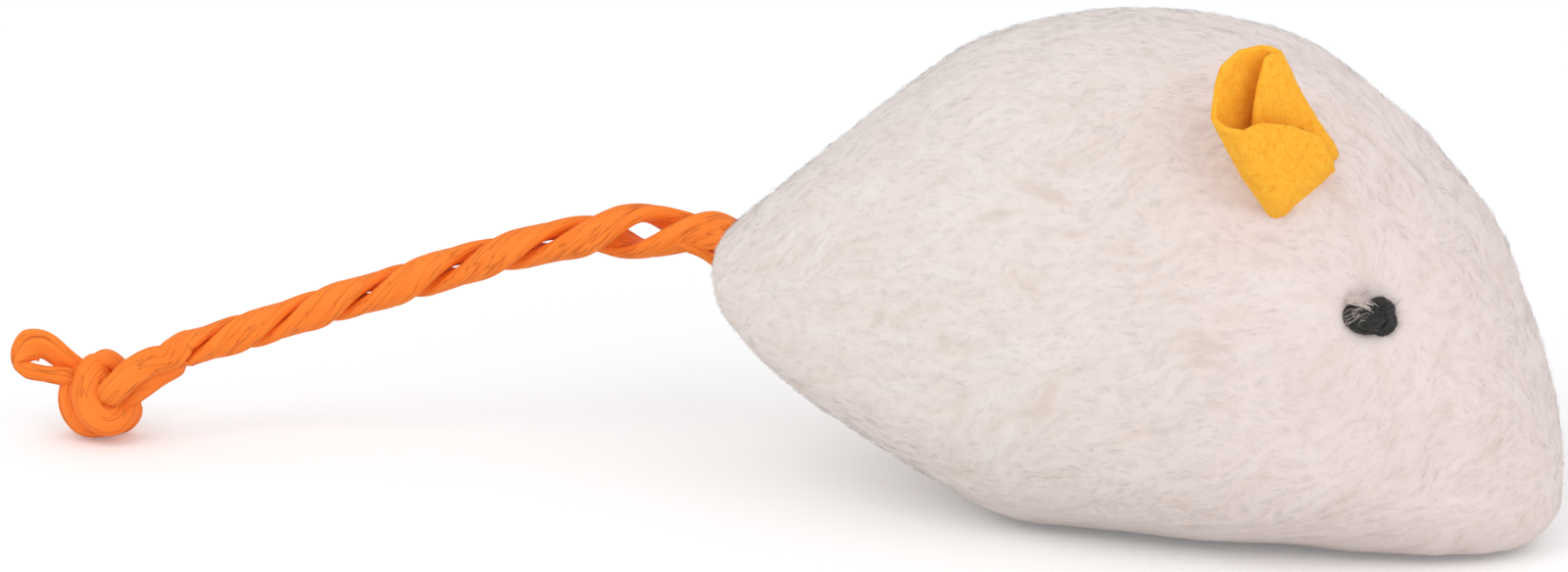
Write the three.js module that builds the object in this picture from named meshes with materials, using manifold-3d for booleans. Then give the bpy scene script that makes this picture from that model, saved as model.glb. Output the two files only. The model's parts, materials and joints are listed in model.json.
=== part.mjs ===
// Stuffed catnip mouse: a plush body, folded felt ears, sewn thread eyes and a knotted paper-twine tail.
// Millimetres. Nose towards +X, right side towards -Y, floor at Z = 0.
import * as THREE from 'three';
import { mergeVertices } from 'three/addons/utils/BufferGeometryUtils.js';
import loadSolids from 'manifold-3d';

const solids = await loadSolids();
solids.setup();

// Body outline
const BODY_LENGTH = 60;
const BODY_WIDTH = 32.6;
const BODY_HEIGHT = 33.5;
const HIGHEST_POINT = -0.1;
const NOSE_TIP_HEIGHT = 3.8;
const TAIL_END_HEIGHT = 15;
const BELLY_FLAT_DEPTH = 0.8;
const BASE_SEAM_SHARE = 0.32;

// How each line of the body falls away from the highest point: how long it stays full, how bluntly it
// closes, and the share of it that is left at the rounded end
const RIDGE_TO_NOSE = [2.53, 1.38, 0];
const RIDGE_TO_TAIL = [2.07, 0.78, 0.06];
const BELLY_TO_NOSE = [8, 2.03, 0];
const BELLY_TO_TAIL = [1.75, 0.83, 0.14];
const SIDE_TO_NOSE = [2.34, 1.68, 0];
const SIDE_TO_TAIL = [2.03, 2.16, 0.19];
const END_ROUNDING = 34;
const SKIN_STATIONS = 24;
const SKIN_AROUND = 30;
const HOLLOW_STATIONS = 16;
const HOLLOW_AROUND = 20;
const UPPER_FULLNESS = 2.14;
const LOWER_FULLNESS = 2.05;

// Plush, seams and filling
const PIECE_GAP = 0.3;
const CUT_REACH = 1;
const PLUSH_THICKNESS = 2.4;
const BACKING_THICKNESS = 0.9;
const SEAM_ALLOWANCE = 3;
const SEAM_THREAD_RADIUS = 0.25;
const SEAM_STITCH_DEPTH = 1.1;
const BACK_SEAM_FROM_TAIL = 7;
const BACK_SEAM_FROM_NOSE = 4.5;
const BASE_SEAM_FROM_TAIL = 7;
const BASE_SEAM_FROM_NOSE = 5;
const FILLING_SPLIT = 3;
const CATNIP_LENGTH = 17;
const CATNIP_WIDTH = 15;
const CATNIP_DEPTH = 12;
const CATNIP_HEIGHT = 15;

// Ears
const RIGHT_EAR = { fromNose: 14.5, turn: 39.8, slant: 15.4, lean: 44.7 };
const LEFT_EAR = { fromNose: 16, turn: 62, slant: -60, lean: 24 };
const EAR_WIDTH = 5.6;
const EAR_LENGTH = 10.6;
const EAR_CROWN = 0.9;
const EAR_LEAF_FORWARD = 0.95;
const FELT_THICKNESS = 0.8;
const FELT_LAYERS = 3;
const FELT_LAYER_SPACE = 0.1;
const EAR_LAYER_OPENING = 0.4;
const EAR_OPENING_REACH = 0.3;
const EAR_CUP_DEPTH = 0.7;
const LEFT_FLAP_START = 0.07;
const LEFT_FLAP_END = 0.91;
const LEFT_FLAP_SWEEP = 1.6;
const FLAP_REMAINDER = 0.25;
const RIGHT_FLAP_OVERLAP = 1.9;
const RIGHT_FLAP_TOP_EDGE = 1.5;
const RIGHT_FLAP_SWEEP = 3;
const RIGHT_FLAP_CUP_SHARE = 0.6;
const EAR_ROOT_WIDTH = 4;
const EAR_ROOT_THICKNESS = 1.7;
const EAR_ROOT_LENGTH = 3.6;
const EAR_THREAD_RADIUS = 0.3;
const EAR_THREAD_DEPTH = 1.9;

// Eyes
const RIGHT_EYE = { fromNose: 9.6, turn: 56.1 };
const LEFT_EYE = { fromNose: 11, turn: 65 };
const EYE_DIMPLE_RADIUS = 6;
const EYE_DIMPLE_DEPTH = 0.8;
const EYE_KNOT_RADIUS = 1.05;
const EYE_KNOT_OFFSET = 0.55;
const EYE_STITCH_RADIUS = 0.5;
const EYE_STITCH_LENGTH = 1.5;
const EYE_STITCH_OFFSET = 0.6;
const EYE_STITCH_SPREAD = 25;
const EYE_THREAD_RADIUS = 0.45;

// Tail
const TAIL_HEADING = 18.8;
const TAIL_EXIT_HEIGHT = 15.3;
const TAIL_RADIUS = 1.35;
const TAIL_SWING_OUT = 1.5;
const TAIL_LIFT_OUT = 3.6;
const TAIL_LIFT_HEIGHT = 15.5;
const TAIL_INNER_LENGTH = 6.5;
const TAIL_INNER_END_RADIUS = 2;
const TAIL_CROWN_OUT = 10.5;
const TAIL_CROWN_HEIGHT = 16.4;
const TAIL_SLOPE_OUT = 21;
const TAIL_SLOPE_HEIGHT = 12.6;
const STRAND_HALF_WIDTH = 1.02;
const STRAND_HALF_THICKNESS = 0.64;
const STRAND_OFFSET = 0.82;
const STRAND_TURNS = 3;
const KNOT_OUT = 44;
const KNOT_WRAP_RADIUS = 0.9;
const KNOT_STRAND_RADIUS = 0.57;
const KNOT_FLOOR_GAP = 0.1;
const KNOT_END_PARTING = 1.15;
const KNOT_END_SWEEP = 0.5;
const KNOT_END_LENGTH = 2.3;
const KNOT_END_RISE = -0.8;
const KNOT_END_DRIFT = 1.2;
const LOOP_RADIUS = 0.62;
const LOOP_LENGTH = 2.7;
const LOOP_HALF_WIDTH = 1;
const LOOP_TILT = 20;

const radians = THREE.MathUtils.degToRad;
const RIGHT = -1;

const plush = new THREE.MeshStandardMaterial({ color: 0xe8dfdc, roughness: 0.95, metalness: 0 });
const felt = new THREE.MeshStandardMaterial({ color: 0xffae33, roughness: 0.95, metalness: 0 });
const blackThread = new THREE.MeshStandardMaterial({ color: 0x2b2b29, roughness: 0.7, metalness: 0 });
const whiteThread = new THREE.MeshStandardMaterial({ color: 0xf2efea, roughness: 0.8, metalness: 0 });
const paperTwine = new THREE.MeshStandardMaterial({ color: 0xf08a3c, roughness: 0.75, metalness: 0 });
const fibreFill = new THREE.MeshStandardMaterial({ color: 0xf5f4f0, roughness: 1, metalness: 0 });
const driedLeaf = new THREE.MeshStandardMaterial({ color: 0x77804a, roughness: 1, metalness: 0 });

// Joining and cutting
function solidOf(geometry) {
  const bare = geometry.clone();
  for (const name of Object.keys(bare.attributes)) {
    if (name !== 'position') bare.deleteAttribute(name);
  }
  const merged = mergeVertices(bare, 1e-4);
  const mesh = new solids.Mesh({
    numProp: 3,
    vertProperties: new Float32Array(merged.attributes.position.array),
    triVerts: new Uint32Array(merged.index.array),
  });
  return new solids.Manifold(mesh);
}

function geometryOf(solid) {
  const mesh = solid.getMesh();
  const geometry = new THREE.BufferGeometry();
  geometry.setAttribute('position', new THREE.BufferAttribute(mesh.vertProperties, mesh.numProp));
  geometry.setIndex(new THREE.BufferAttribute(mesh.triVerts, 1));
  geometry.computeVertexNormals();
  return geometry;
}

const cut = (solid, ...cutters) => cutters.reduce((left, cutter) => left.subtract(cutter), solid);
const join = (...parts) => parts.reduce((whole, part) => whole.add(part));

function block(low, high) {
  const size = high.clone().sub(low);
  const middle = low.clone().add(high).multiplyScalar(0.5);
  return solidOf(new THREE.BoxGeometry(size.x, size.y, size.z).translate(middle.x, middle.y, middle.z));
}

function tube(points, radius, sides, steps) {
  const ring = new THREE.Shape();
  ring.absarc(0, 0, radius, 0, 2 * Math.PI);
  const path = new THREE.CatmullRomCurve3(points);
  return new THREE.ExtrudeGeometry(ring, { extrudePath: path, steps, curveSegments: sides / 2 });
}

// A pin or a hole along a line, round or swelling, from a profile of [distance along, radius]
function turned(from, along, profile, sides) {
  const ends = [[profile[0][0], 0], ...profile, [profile[profile.length - 1][0], 0]];
  const outline = ends.map(([distance, radius]) => new THREE.Vector2(radius, distance));
  const turn = new THREE.Quaternion().setFromUnitVectors(new THREE.Vector3(0, 1, 0), along);
  const geometry = new THREE.LatheGeometry(outline, sides);
  return geometry.applyQuaternion(turn).translate(from.x, from.y, from.z);
}

// A copy on the other side of the mouse, with its faces still outwards
function mirrored(geometry) {
  const copy = mergeVertices(geometry.clone().deleteAttribute('uv').deleteAttribute('normal'), 1e-4);
  copy.scale(1, -1, 1);
  const corners = copy.index.array;
  for (let i = 0; i < corners.length; i += 3) {
    [corners[i], corners[i + 1]] = [corners[i + 1], corners[i]];
  }
  return copy;
}

// Body form
function swell(share, [reach, blunt, left]) {
  const fall = (1 - share ** reach) ** (1 / blunt);
  return (left + (1 - left) * fall) * Math.sqrt(1 - share ** END_ROUNDING);
}

function sectionAt(x) {
  const half = BODY_LENGTH / 2;
  const ahead = x > HIGHEST_POINT;
  const run = ahead ? half - HIGHEST_POINT : half + HIGHEST_POINT;
  const share = Math.min(Math.abs(x - HIGHEST_POINT) / run, 1);
  const glide = THREE.MathUtils.smoothstep(x, -half, half);
  const tip = THREE.MathUtils.lerp(TAIL_END_HEIGHT, NOSE_TIP_HEIGHT, glide);
  const ridge = tip + (BODY_HEIGHT - tip) * swell(share, ahead ? RIDGE_TO_NOSE : RIDGE_TO_TAIL);
  const belly = tip - (tip + BELLY_FLAT_DEPTH) * swell(share, ahead ? BELLY_TO_NOSE : BELLY_TO_TAIL);
  const side = BODY_WIDTH / 2 * swell(share, ahead ? SIDE_TO_NOSE : SIDE_TO_TAIL);
  const seam = belly + BASE_SEAM_SHARE * (ridge - belly);
  return { ridge, belly, side, seam };
}

// A point on the plush at a station along the body, turned from the ridge towards the right side
function skinPoint(x, turn) {
  const { ridge, belly, side, seam } = sectionAt(x);
  const upper = Math.cos(turn) >= 0;
  const power = 2 / (upper ? UPPER_FULLNESS : LOWER_FULLNESS);
  const across = Math.sign(Math.sin(turn)) * Math.abs(Math.sin(turn)) ** power;
  const rise = Math.abs(Math.cos(turn)) ** power;
  const height = upper ? seam + (ridge - seam) * rise : seam - (seam - belly) * rise;
  return new THREE.Vector3(x, RIGHT * side * across, Math.max(height, 0));
}

// The plush at a point: outwards, towards the nose and down the side
function skinFrame(x, turn) {
  const step = 0.05;
  const point = skinPoint(x, turn);
  const forward = skinPoint(x + step, turn).sub(skinPoint(x - step, turn)).normalize();
  const aroundStep = step / BODY_HEIGHT;
  const down = skinPoint(x, turn + aroundStep).sub(skinPoint(x, turn - aroundStep)).normalize();
  const out = new THREE.Vector3().crossVectors(down, forward).normalize();
  return { point, forward, down: new THREE.Vector3().crossVectors(forward, out), out };
}

function bodyForm(stations, around) {
  const positions = [];
  const corners = [];
  const half = BODY_LENGTH / 2;
  positions.push(-half, 0, TAIL_END_HEIGHT);
  for (let i = 1; i < stations; i += 1) {
    const x = -half * Math.cos(Math.PI * i / stations);
    for (let j = 0; j < around; j += 1) {
      positions.push(...skinPoint(x, 2 * Math.PI * j / around).toArray());
    }
  }
  positions.push(half, 0, NOSE_TIP_HEIGHT);
  const last = positions.length / 3 - 1;
  for (let j = 0; j < around; j += 1) {
    const next = (j + 1) % around;
    corners.push(0, 1 + next, 1 + j);
    const end = last - around;
    corners.push(last, end + j, end + next);
    for (let i = 0; i < stations - 2; i += 1) {
      const row = 1 + i * around;
      const after = row + around;
      corners.push(row + j, after + next, after + j);
      corners.push(row + j, row + next, after + next);
    }
  }
  const geometry = new THREE.BufferGeometry();
  geometry.setAttribute('position', new THREE.Float32BufferAttribute(positions, 3));
  geometry.setIndex(corners);
  return geometry;
}

// The same point drawn in towards the middle of the body
function drawnIn(point, inset) {
  const shrink = (size) => (size - 2 * inset) / size;
  const middle = BODY_HEIGHT / 2;
  const height = middle + (point.z - middle) * shrink(BODY_HEIGHT);
  return new THREE.Vector3(point.x * shrink(BODY_LENGTH), point.y * shrink(BODY_WIDTH), height);
}

function hollow(inset) {
  const geometry = bodyForm(HOLLOW_STATIONS, HOLLOW_AROUND);
  const positions = geometry.attributes.position;
  for (let i = 0; i < positions.count; i += 1) {
    const point = drawnIn(new THREE.Vector3().fromBufferAttribute(positions, i), inset);
    positions.setXYZ(i, point.x, point.y, point.z);
  }
  return solidOf(geometry);
}

// The space between two heights measured from the base seam
function seamBand(low, high) {
  const steps = 28;
  const half = BODY_LENGTH / 2;
  const width = BODY_WIDTH + 2 * CUT_REACH;
  const outline = [];
  for (let i = 0; i <= steps; i += 1) {
    const x = -half * Math.cos(Math.PI * i / steps);
    outline.push(new THREE.Vector2(x * (half + CUT_REACH) / half, sectionAt(x).seam));
  }
  const lower = outline.map((point) => new THREE.Vector2(point.x, point.y + low));
  const upper = outline.map((point) => new THREE.Vector2(point.x, point.y + high)).reverse();
  const shape = new THREE.Shape([...lower, ...upper]);
  const geometry = new THREE.ExtrudeGeometry(shape, { depth: width, bevelEnabled: false });
  return solidOf(geometry.rotateX(Math.PI / 2).translate(0, width / 2, 0));
}

// Seam threads
function seamLine(fromTail, fromNose, placeAt) {
  const steps = 16;
  const rearEnd = fromTail - BODY_LENGTH / 2;
  const frontEnd = BODY_LENGTH / 2 - fromNose;
  const points = [];
  for (let i = 0; i <= steps; i += 1) {
    points.push(placeAt(THREE.MathUtils.lerp(rearEnd, frontEnd, i / steps)));
  }
  return points;
}

const stitchInset = PLUSH_THICKNESS + SEAM_STITCH_DEPTH;
const backSeam = seamLine(
  BACK_SEAM_FROM_TAIL,
  BACK_SEAM_FROM_NOSE,
  (x) => drawnIn(skinPoint(x, 0), stitchInset),
);
const rightSeam = seamLine(BASE_SEAM_FROM_TAIL, BASE_SEAM_FROM_NOSE, (x) => {
  const point = drawnIn(skinPoint(x, Math.PI / 2), stitchInset);
  return point.setZ(sectionAt(point.x).seam);
});
const seamThread = (points) => tube(points, SEAM_THREAD_RADIUS, 6, 16);
const seamChannel = (points) => tube(points, SEAM_THREAD_RADIUS + PIECE_GAP, 6, 16);
const backSeamThread = seamThread(backSeam);
const rightSeamThread = seamThread(rightSeam);
const rightChannelForm = seamChannel(rightSeam);
const seamChannels = [
  solidOf(seamChannel(backSeam)),
  solidOf(rightChannelForm),
  solidOf(mirrored(rightChannelForm)),
];

// Ears: the felt leaf leans back from a gathered base that is sewn into the plush
const earBaseRadius = FELT_LAYERS * FELT_THICKNESS / 2 + FELT_LAYER_SPACE;

// Where an ear is sewn on: its base line, the way it stands and the way its root goes in
function earPlacing({ fromNose, turn, slant, lean }) {
  const { point, forward, down, out } = skinFrame(BODY_LENGTH / 2 - fromNose, radians(turn));
  const baseLine = forward.clone().multiplyScalar(Math.sin(radians(slant)))
    .addScaledVector(down, -Math.cos(radians(slant)));
  const aside = new THREE.Vector3().crossVectors(out, baseLine);
  const up = aside.clone().multiplyScalar(Math.cos(radians(lean)))
    .addScaledVector(out, Math.sin(radians(lean)));
  const front = new THREE.Vector3().crossVectors(baseLine, up);
  const standing = new THREE.Matrix4().makeBasis(front, baseLine, up).setPosition(point);
  const sewn = new THREE.Matrix4().makeBasis(baseLine, aside, out).setPosition(point);
  return { point, baseLine, standing, sewn };
}

// One line of the felt, from the left flap's free edge round the back leaf to the right flap's free edge
function earLine(share) {
  const half = EAR_WIDTH / 2;
  const opening = EAR_LAYER_OPENING * THREE.MathUtils.smoothstep(share, 0, EAR_OPENING_REACH);
  const pitch = FELT_THICKNESS + FELT_LAYER_SPACE + opening;
  const back = -pitch - EAR_CUP_DEPTH * share * share;
  const rightFlap = RIGHT_FLAP_CUP_SHARE * EAR_CUP_DEPTH * share;
  const leftFlap = pitch + EAR_CUP_DEPTH * share * share;
  const leftFold = (leftFlap - back) / 2;
  const rightFold = (rightFlap - back) / 2;
  const leftEnd = -half + leftFold;
  const rightEnd = half - rightFold;
  const sweep = (share - LEFT_FLAP_START) / (LEFT_FLAP_END - LEFT_FLAP_START);
  const freeEdge = half - EAR_WIDTH * THREE.MathUtils.clamp(sweep, 0, 1) ** LEFT_FLAP_SWEEP;
  const leftEdge = Math.max(freeEdge, leftEnd + FLAP_REMAINDER);
  const rightEdge = THREE.MathUtils.lerp(-RIGHT_FLAP_OVERLAP, RIGHT_FLAP_TOP_EDGE, share ** RIGHT_FLAP_SWEEP);
  const line = [];
  for (let i = 0; i < 6; i += 1) {
    line.push([THREE.MathUtils.lerp(leftEdge, leftEnd, i / 6), leftFlap]);
  }
  for (let i = 0; i < 6; i += 1) {
    const angle = Math.PI * i / 6;
    line.push([leftEnd - leftFold * Math.sin(angle), back + leftFold * (1 + Math.cos(angle))]);
  }
  for (let i = 0; i < 8; i += 1) {
    line.push([THREE.MathUtils.lerp(leftEnd, rightEnd, i / 8), back]);
  }
  for (let i = 0; i < 5; i += 1) {
    const angle = Math.PI * i / 5;
    line.push([rightEnd + rightFold * Math.sin(angle), back + rightFold * (1 - Math.cos(angle))]);
  }
  for (let i = 0; i <= 5; i += 1) {
    line.push([THREE.MathUtils.lerp(rightEnd, rightEdge, i / 5), rightFlap]);
  }
  return line;
}

function feltLeaf() {
  const rows = 7;
  const middle = [];
  for (let row = 0; row <= rows; row += 1) {
    const share = row / rows;
    middle.push(earLine(share).map(([across, front]) => {
      const rounding = 1 - (2 * across / EAR_WIDTH) ** 2;
      const up = share * EAR_LENGTH + share * share * EAR_CROWN * Math.max(rounding, 0);
      return new THREE.Vector3(front + EAR_LEAF_FORWARD, across, up);
    }));
  }
  const columns = middle[0].length;
  const positions = [];
  for (const side of [0.5, -0.5]) {
    for (let row = 0; row <= rows; row += 1) {
      for (let column = 0; column < columns; column += 1) {
        const along = middle[row][Math.min(column + 1, columns - 1)].clone()
          .sub(middle[row][Math.max(column - 1, 0)]);
        const up = middle[Math.min(row + 1, rows)][column].clone().sub(middle[Math.max(row - 1, 0)][column]);
        const out = along.cross(up).normalize();
        positions.push(...middle[row][column].clone().addScaledVector(out, side * FELT_THICKNESS).toArray());
      }
    }
  }
  const face = (rows + 1) * columns;
  const corners = [];
  const square = (a, b, c, d) => corners.push(a, b, c, a, c, d);
  for (let row = 0; row < rows; row += 1) {
    for (let column = 0; column < columns - 1; column += 1) {
      const a = row * columns + column;
      square(a, a + 1, a + columns + 1, a + columns);
      square(face + a, face + a + columns, face + a + columns + 1, face + a + 1);
    }
    const first = row * columns;
    const end = first + columns - 1;
    square(first, first + columns, face + first + columns, face + first);
    square(end, face + end, face + end + columns, end + columns);
  }
  for (let column = 0; column < columns - 1; column += 1) {
    const top = rows * columns + column;
    square(column, face + column, face + column + 1, column + 1);
    square(top, top + 1, face + top + 1, face + top);
  }
  const geometry = new THREE.BufferGeometry();
  geometry.setAttribute('position', new THREE.Float32BufferAttribute(positions, 3));
  geometry.setIndex(corners);
  return geometry;
}

// The gathered base and the groove that it turns in
const earRoll = (radius) => new THREE.CapsuleGeometry(radius, EAR_WIDTH - 2 * earBaseRadius, 3, 10);

const earRootTop = earBaseRadius + PIECE_GAP;
function earRootForm(clearance) {
  const length = EAR_ROOT_LENGTH + 2 * clearance;
  const root = new THREE.CylinderGeometry(1, 1, length, 16).rotateX(Math.PI / 2);
  root.scale(EAR_ROOT_WIDTH / 2 + clearance, EAR_ROOT_THICKNESS / 2 + clearance, 1);
  return root.translate(0, 0, -earRootTop - EAR_ROOT_LENGTH / 2);
}

function earThreadForm() {
  const reach = PIECE_GAP + EAR_THREAD_RADIUS;
  const thread = new THREE.TorusGeometry(2, 1, 6, 20);
  const positions = thread.attributes.position;
  for (let i = 0; i < positions.count; i += 1) {
    const sweep = Math.atan2(positions.getY(i), positions.getX(i));
    const side = Math.hypot(positions.getX(i), positions.getY(i)) - 2;
    const wide = EAR_ROOT_WIDTH / 2 + reach + side * EAR_THREAD_RADIUS;
    const narrow = EAR_ROOT_THICKNESS / 2 + reach + side * EAR_THREAD_RADIUS;
    const height = positions.getZ(i) * EAR_THREAD_RADIUS;
    positions.setXYZ(i, wide * Math.cos(sweep), narrow * Math.sin(sweep), height);
  }
  return thread.translate(0, 0, -earRootTop - EAR_THREAD_DEPTH);
}

const earForm = geometryOf(join(solidOf(feltLeaf()), solidOf(earRoll(earBaseRadius))));

function ear(placing) {
  const { standing, sewn } = earPlacing(placing);
  return {
    leaf: earForm.clone().applyMatrix4(standing),
    root: earRootForm(0).applyMatrix4(sewn),
    thread: earThreadForm().applyMatrix4(sewn),
    groove: earRoll(earBaseRadius + PIECE_GAP).applyMatrix4(standing),
    slit: earRootForm(PIECE_GAP).applyMatrix4(sewn),
    pocket: earRootForm(2 * (PIECE_GAP + EAR_THREAD_RADIUS)).applyMatrix4(sewn),
  };
}

const mirroredAll = (forms) => Object.fromEntries(
  Object.entries(forms).map(([name, geometry]) => [name, mirrored(geometry)]),
);
const rightEar = ear(RIGHT_EAR);
const leftEar = mirroredAll(ear(LEFT_EAR));

// Eyes: a thread knot and two stitches in a dimple, drawn in by a thread through the head
function eyeForm() {
  const height = EYE_KNOT_RADIUS + PIECE_GAP;
  const knot = new THREE.SphereGeometry(EYE_KNOT_RADIUS, 12, 8)
    .translate(-EYE_KNOT_OFFSET / 2, EYE_KNOT_OFFSET, height);
  const parts = [solidOf(knot)];
  for (const spread of [-EYE_STITCH_SPREAD, EYE_STITCH_SPREAD]) {
    const stitch = new THREE.CapsuleGeometry(EYE_STITCH_RADIUS, EYE_STITCH_LENGTH, 3, 8)
      .rotateZ(radians(spread))
      .translate(EYE_STITCH_OFFSET / 2, -EYE_STITCH_OFFSET, height);
    parts.push(solidOf(stitch));
  }
  return geometryOf(join(...parts));
}

function eye({ fromNose, turn }) {
  const { point, forward, down, out } = skinFrame(BODY_LENGTH / 2 - fromNose, radians(turn));
  const floor = point.clone().addScaledVector(out, -EYE_DIMPLE_DEPTH);
  const placing = new THREE.Matrix4().makeBasis(down, forward, out).setPosition(floor);
  return {
    knot: eyeForm().applyMatrix4(placing),
    dimple: new THREE.SphereGeometry(EYE_DIMPLE_RADIUS, 20, 14)
      .translate(0, 0, EYE_DIMPLE_RADIUS)
      .applyMatrix4(placing),
    floor,
  };
}

const rightEye = eye(RIGHT_EYE);
const leftEye = eye(LEFT_EYE);
leftEye.floor.y *= -1;
const eyeThreadWay = leftEye.floor.clone().sub(rightEye.floor).normalize();
const eyeThreadLength = leftEye.floor.distanceTo(rightEye.floor);
const eyeThreadForm = (radius, beyond) => turned(
  rightEye.floor,
  eyeThreadWay,
  [[-beyond, radius], [eyeThreadLength + beyond, radius]],
  10,
);
const eyeThread = eyeThreadForm(EYE_THREAD_RADIUS, 0);
const eyeThreadHole = solidOf(eyeThreadForm(EYE_THREAD_RADIUS + PIECE_GAP, EYE_DIMPLE_DEPTH));

// Tail
const tailStart = new THREE.Vector3(-BODY_LENGTH / 2, 0, TAIL_EXIT_HEIGHT);
const tailHeading = radians(TAIL_HEADING);
const tailOutward = new THREE.Vector3(-Math.cos(tailHeading), RIGHT * Math.sin(tailHeading), 0);
const tailAside = new THREE.Vector3().crossVectors(tailOutward, new THREE.Vector3(0, 0, 1));
const tailPoint = (out, height) => tailStart.clone().setZ(height).addScaledVector(tailOutward, out);
const swingPivot = tailPoint(TAIL_SWING_OUT, TAIL_EXIT_HEIGHT);
const liftPivot = tailPoint(TAIL_LIFT_OUT, TAIL_LIFT_HEIGHT);
const tailFirstWay = liftPivot.clone().sub(swingPivot).normalize();

const firstLength = liftPivot.distanceTo(swingPivot);
const tailRoot = new THREE.CapsuleGeometry(TAIL_RADIUS, firstLength, 5, 12)
  .applyQuaternion(new THREE.Quaternion().setFromUnitVectors(new THREE.Vector3(0, 1, 0), tailFirstWay))
  .translate(...swingPivot.clone().add(liftPivot).multiplyScalar(0.5).toArray());
const tailInward = tailFirstWay.clone().negate();
const innerStart = TAIL_RADIUS + PIECE_GAP;
const innerEnd = innerStart + TAIL_INNER_LENGTH;
const innerProfile = (clearance) => [
  [innerStart - clearance, TAIL_RADIUS + clearance],
  [innerEnd - 2 * TAIL_INNER_END_RADIUS, TAIL_RADIUS + clearance],
  [innerEnd - TAIL_INNER_END_RADIUS, TAIL_INNER_END_RADIUS + clearance],
  [innerEnd + clearance, TAIL_RADIUS + clearance],
];
const tailAnchor = turned(swingPivot, tailInward, innerProfile(0), 12);
const tailHole = join(
  solidOf(turned(swingPivot, tailInward, innerProfile(PIECE_GAP), 12)),
  solidOf(turned(swingPivot, tailInward, [
    [-TAIL_RADIUS, TAIL_RADIUS + PIECE_GAP],
    [innerStart + PIECE_GAP, TAIL_RADIUS + PIECE_GAP],
  ], 12)),
);

// The knot: the strand goes twice round a ring and three times through it, and its ends pass at the top
const knotRingRadius = 2 * KNOT_WRAP_RADIUS;
const knotSteps = 44;
const knotTurn = (i) => 2 * Math.PI * i / knotSteps;
const knotRadius = (t) => knotRingRadius + KNOT_WRAP_RADIUS * Math.cos(3 * t);
let knotDrop = 0;
for (let i = 0; i <= knotSteps; i += 1) {
  const t = knotTurn(i);
  knotDrop = Math.max(knotDrop, -knotRadius(t) * Math.cos(2 * t));
}
const knotMiddle = knotDrop + KNOT_STRAND_RADIUS + KNOT_FLOOR_GAP;
const knotPoint = (out, up, aside) => tailPoint(KNOT_OUT, knotMiddle + up)
  .addScaledVector(tailOutward, out)
  .addScaledVector(tailAside, aside);

function knotLine() {
  const points = [];
  for (let i = 0; i <= knotSteps; i += 1) {
    const t = knotTurn(i);
    const radius = knotRadius(t);
    const nearEnd = Math.min(t, 2 * Math.PI - t);
    const parting = KNOT_END_PARTING * (1 - THREE.MathUtils.smoothstep(nearEnd, 0, KNOT_END_SWEEP));
    const aside = KNOT_WRAP_RADIUS * Math.sin(3 * t) + (t < Math.PI ? -parting : parting);
    points.push(knotPoint(radius * Math.sin(2 * t), radius * Math.cos(2 * t), aside));
  }
  const runOut = (end, way) => end.clone()
    .addScaledVector(tailOutward, way * KNOT_END_LENGTH)
    .addScaledVector(tailAside, way * KNOT_END_DRIFT)
    .setZ(end.z + KNOT_END_RISE);
  points.unshift(runOut(points[0], -1));
  points.push(runOut(points[knotSteps + 1], 1));
  return points;
}

const knotPoints = knotLine();
const tailKnot = tube(knotPoints, KNOT_STRAND_RADIUS, 8, 54);

// The two plies, turned about each other from the lift point to the knot
const knotEntry = knotPoints[0];
const strandEnd = knotEntry.clone().addScaledVector(tailOutward, -PIECE_GAP);
const tailRoute = new THREE.CubicBezierCurve3(
  liftPivot,
  tailPoint(TAIL_CROWN_OUT, TAIL_CROWN_HEIGHT),
  tailPoint(TAIL_SLOPE_OUT, TAIL_SLOPE_HEIGHT),
  strandEnd,
);

function strand(startTurn) {
  const steps = 44;
  const sides = 10;
  const length = tailRoute.getLength();
  const positions = [];
  const corners = [];
  for (let i = 0; i <= steps; i += 1) {
    const share = THREE.MathUtils.lerp((TAIL_RADIUS + PIECE_GAP) / length, 1, i / steps);
    const along = tailRoute.getTangentAt(share);
    const upward = new THREE.Vector3().crossVectors(tailAside, along).normalize();
    const turn = startTurn + 2 * Math.PI * STRAND_TURNS * i / steps;
    const outward = tailAside.clone().multiplyScalar(Math.cos(turn)).addScaledVector(upward, Math.sin(turn));
    const sideways = new THREE.Vector3().crossVectors(along, outward);
    const middle = tailRoute.getPointAt(share).addScaledVector(outward, STRAND_OFFSET);
    for (let j = 0; j < sides; j += 1) {
      const angle = 2 * Math.PI * j / sides;
      positions.push(...middle.clone()
        .addScaledVector(sideways, STRAND_HALF_WIDTH * Math.cos(angle))
        .addScaledVector(outward, STRAND_HALF_THICKNESS * Math.sin(angle)).toArray());
    }
  }
  const end = steps * sides;
  for (let j = 0; j < sides; j += 1) {
    const next = (j + 1) % sides;
    for (let ring = 0; ring < end; ring += sides) {
      corners.push(ring + j, ring + sides + j, ring + sides + next);
      corners.push(ring + j, ring + sides + next, ring + next);
    }
  }
  for (let j = 1; j < sides - 1; j += 1) {
    corners.push(0, j, j + 1, end, end + j + 1, end + j);
  }
  const geometry = new THREE.BufferGeometry();
  geometry.setAttribute('position', new THREE.Float32BufferAttribute(positions, 3));
  geometry.setIndex(corners);
  geometry.computeVertexNormals();
  return geometry;
}

const firstStrand = strand(Math.PI / 2);
const secondStrand = strand(-Math.PI / 2);

// The fold of the doubled strand beyond the knot
function loopForm() {
  const start = knotPoints[knotPoints.length - 1].clone()
    .addScaledVector(tailOutward, PIECE_GAP + LOOP_RADIUS);
  const along = tailOutward.clone().applyAxisAngle(tailAside, radians(LOOP_TILT));
  const across = new THREE.Vector3().crossVectors(tailAside, along).normalize();
  const points = [];
  const steps = 12;
  for (let i = 0; i <= steps; i += 1) {
    const angle = Math.PI * (i / steps - 0.5);
    points.push(start.clone()
      .addScaledVector(along, LOOP_LENGTH * Math.cos(angle))
      .addScaledVector(across, LOOP_HALF_WIDTH * Math.sin(angle)));
  }
  return tube(points, LOOP_RADIUS, 8, 20);
}

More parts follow.
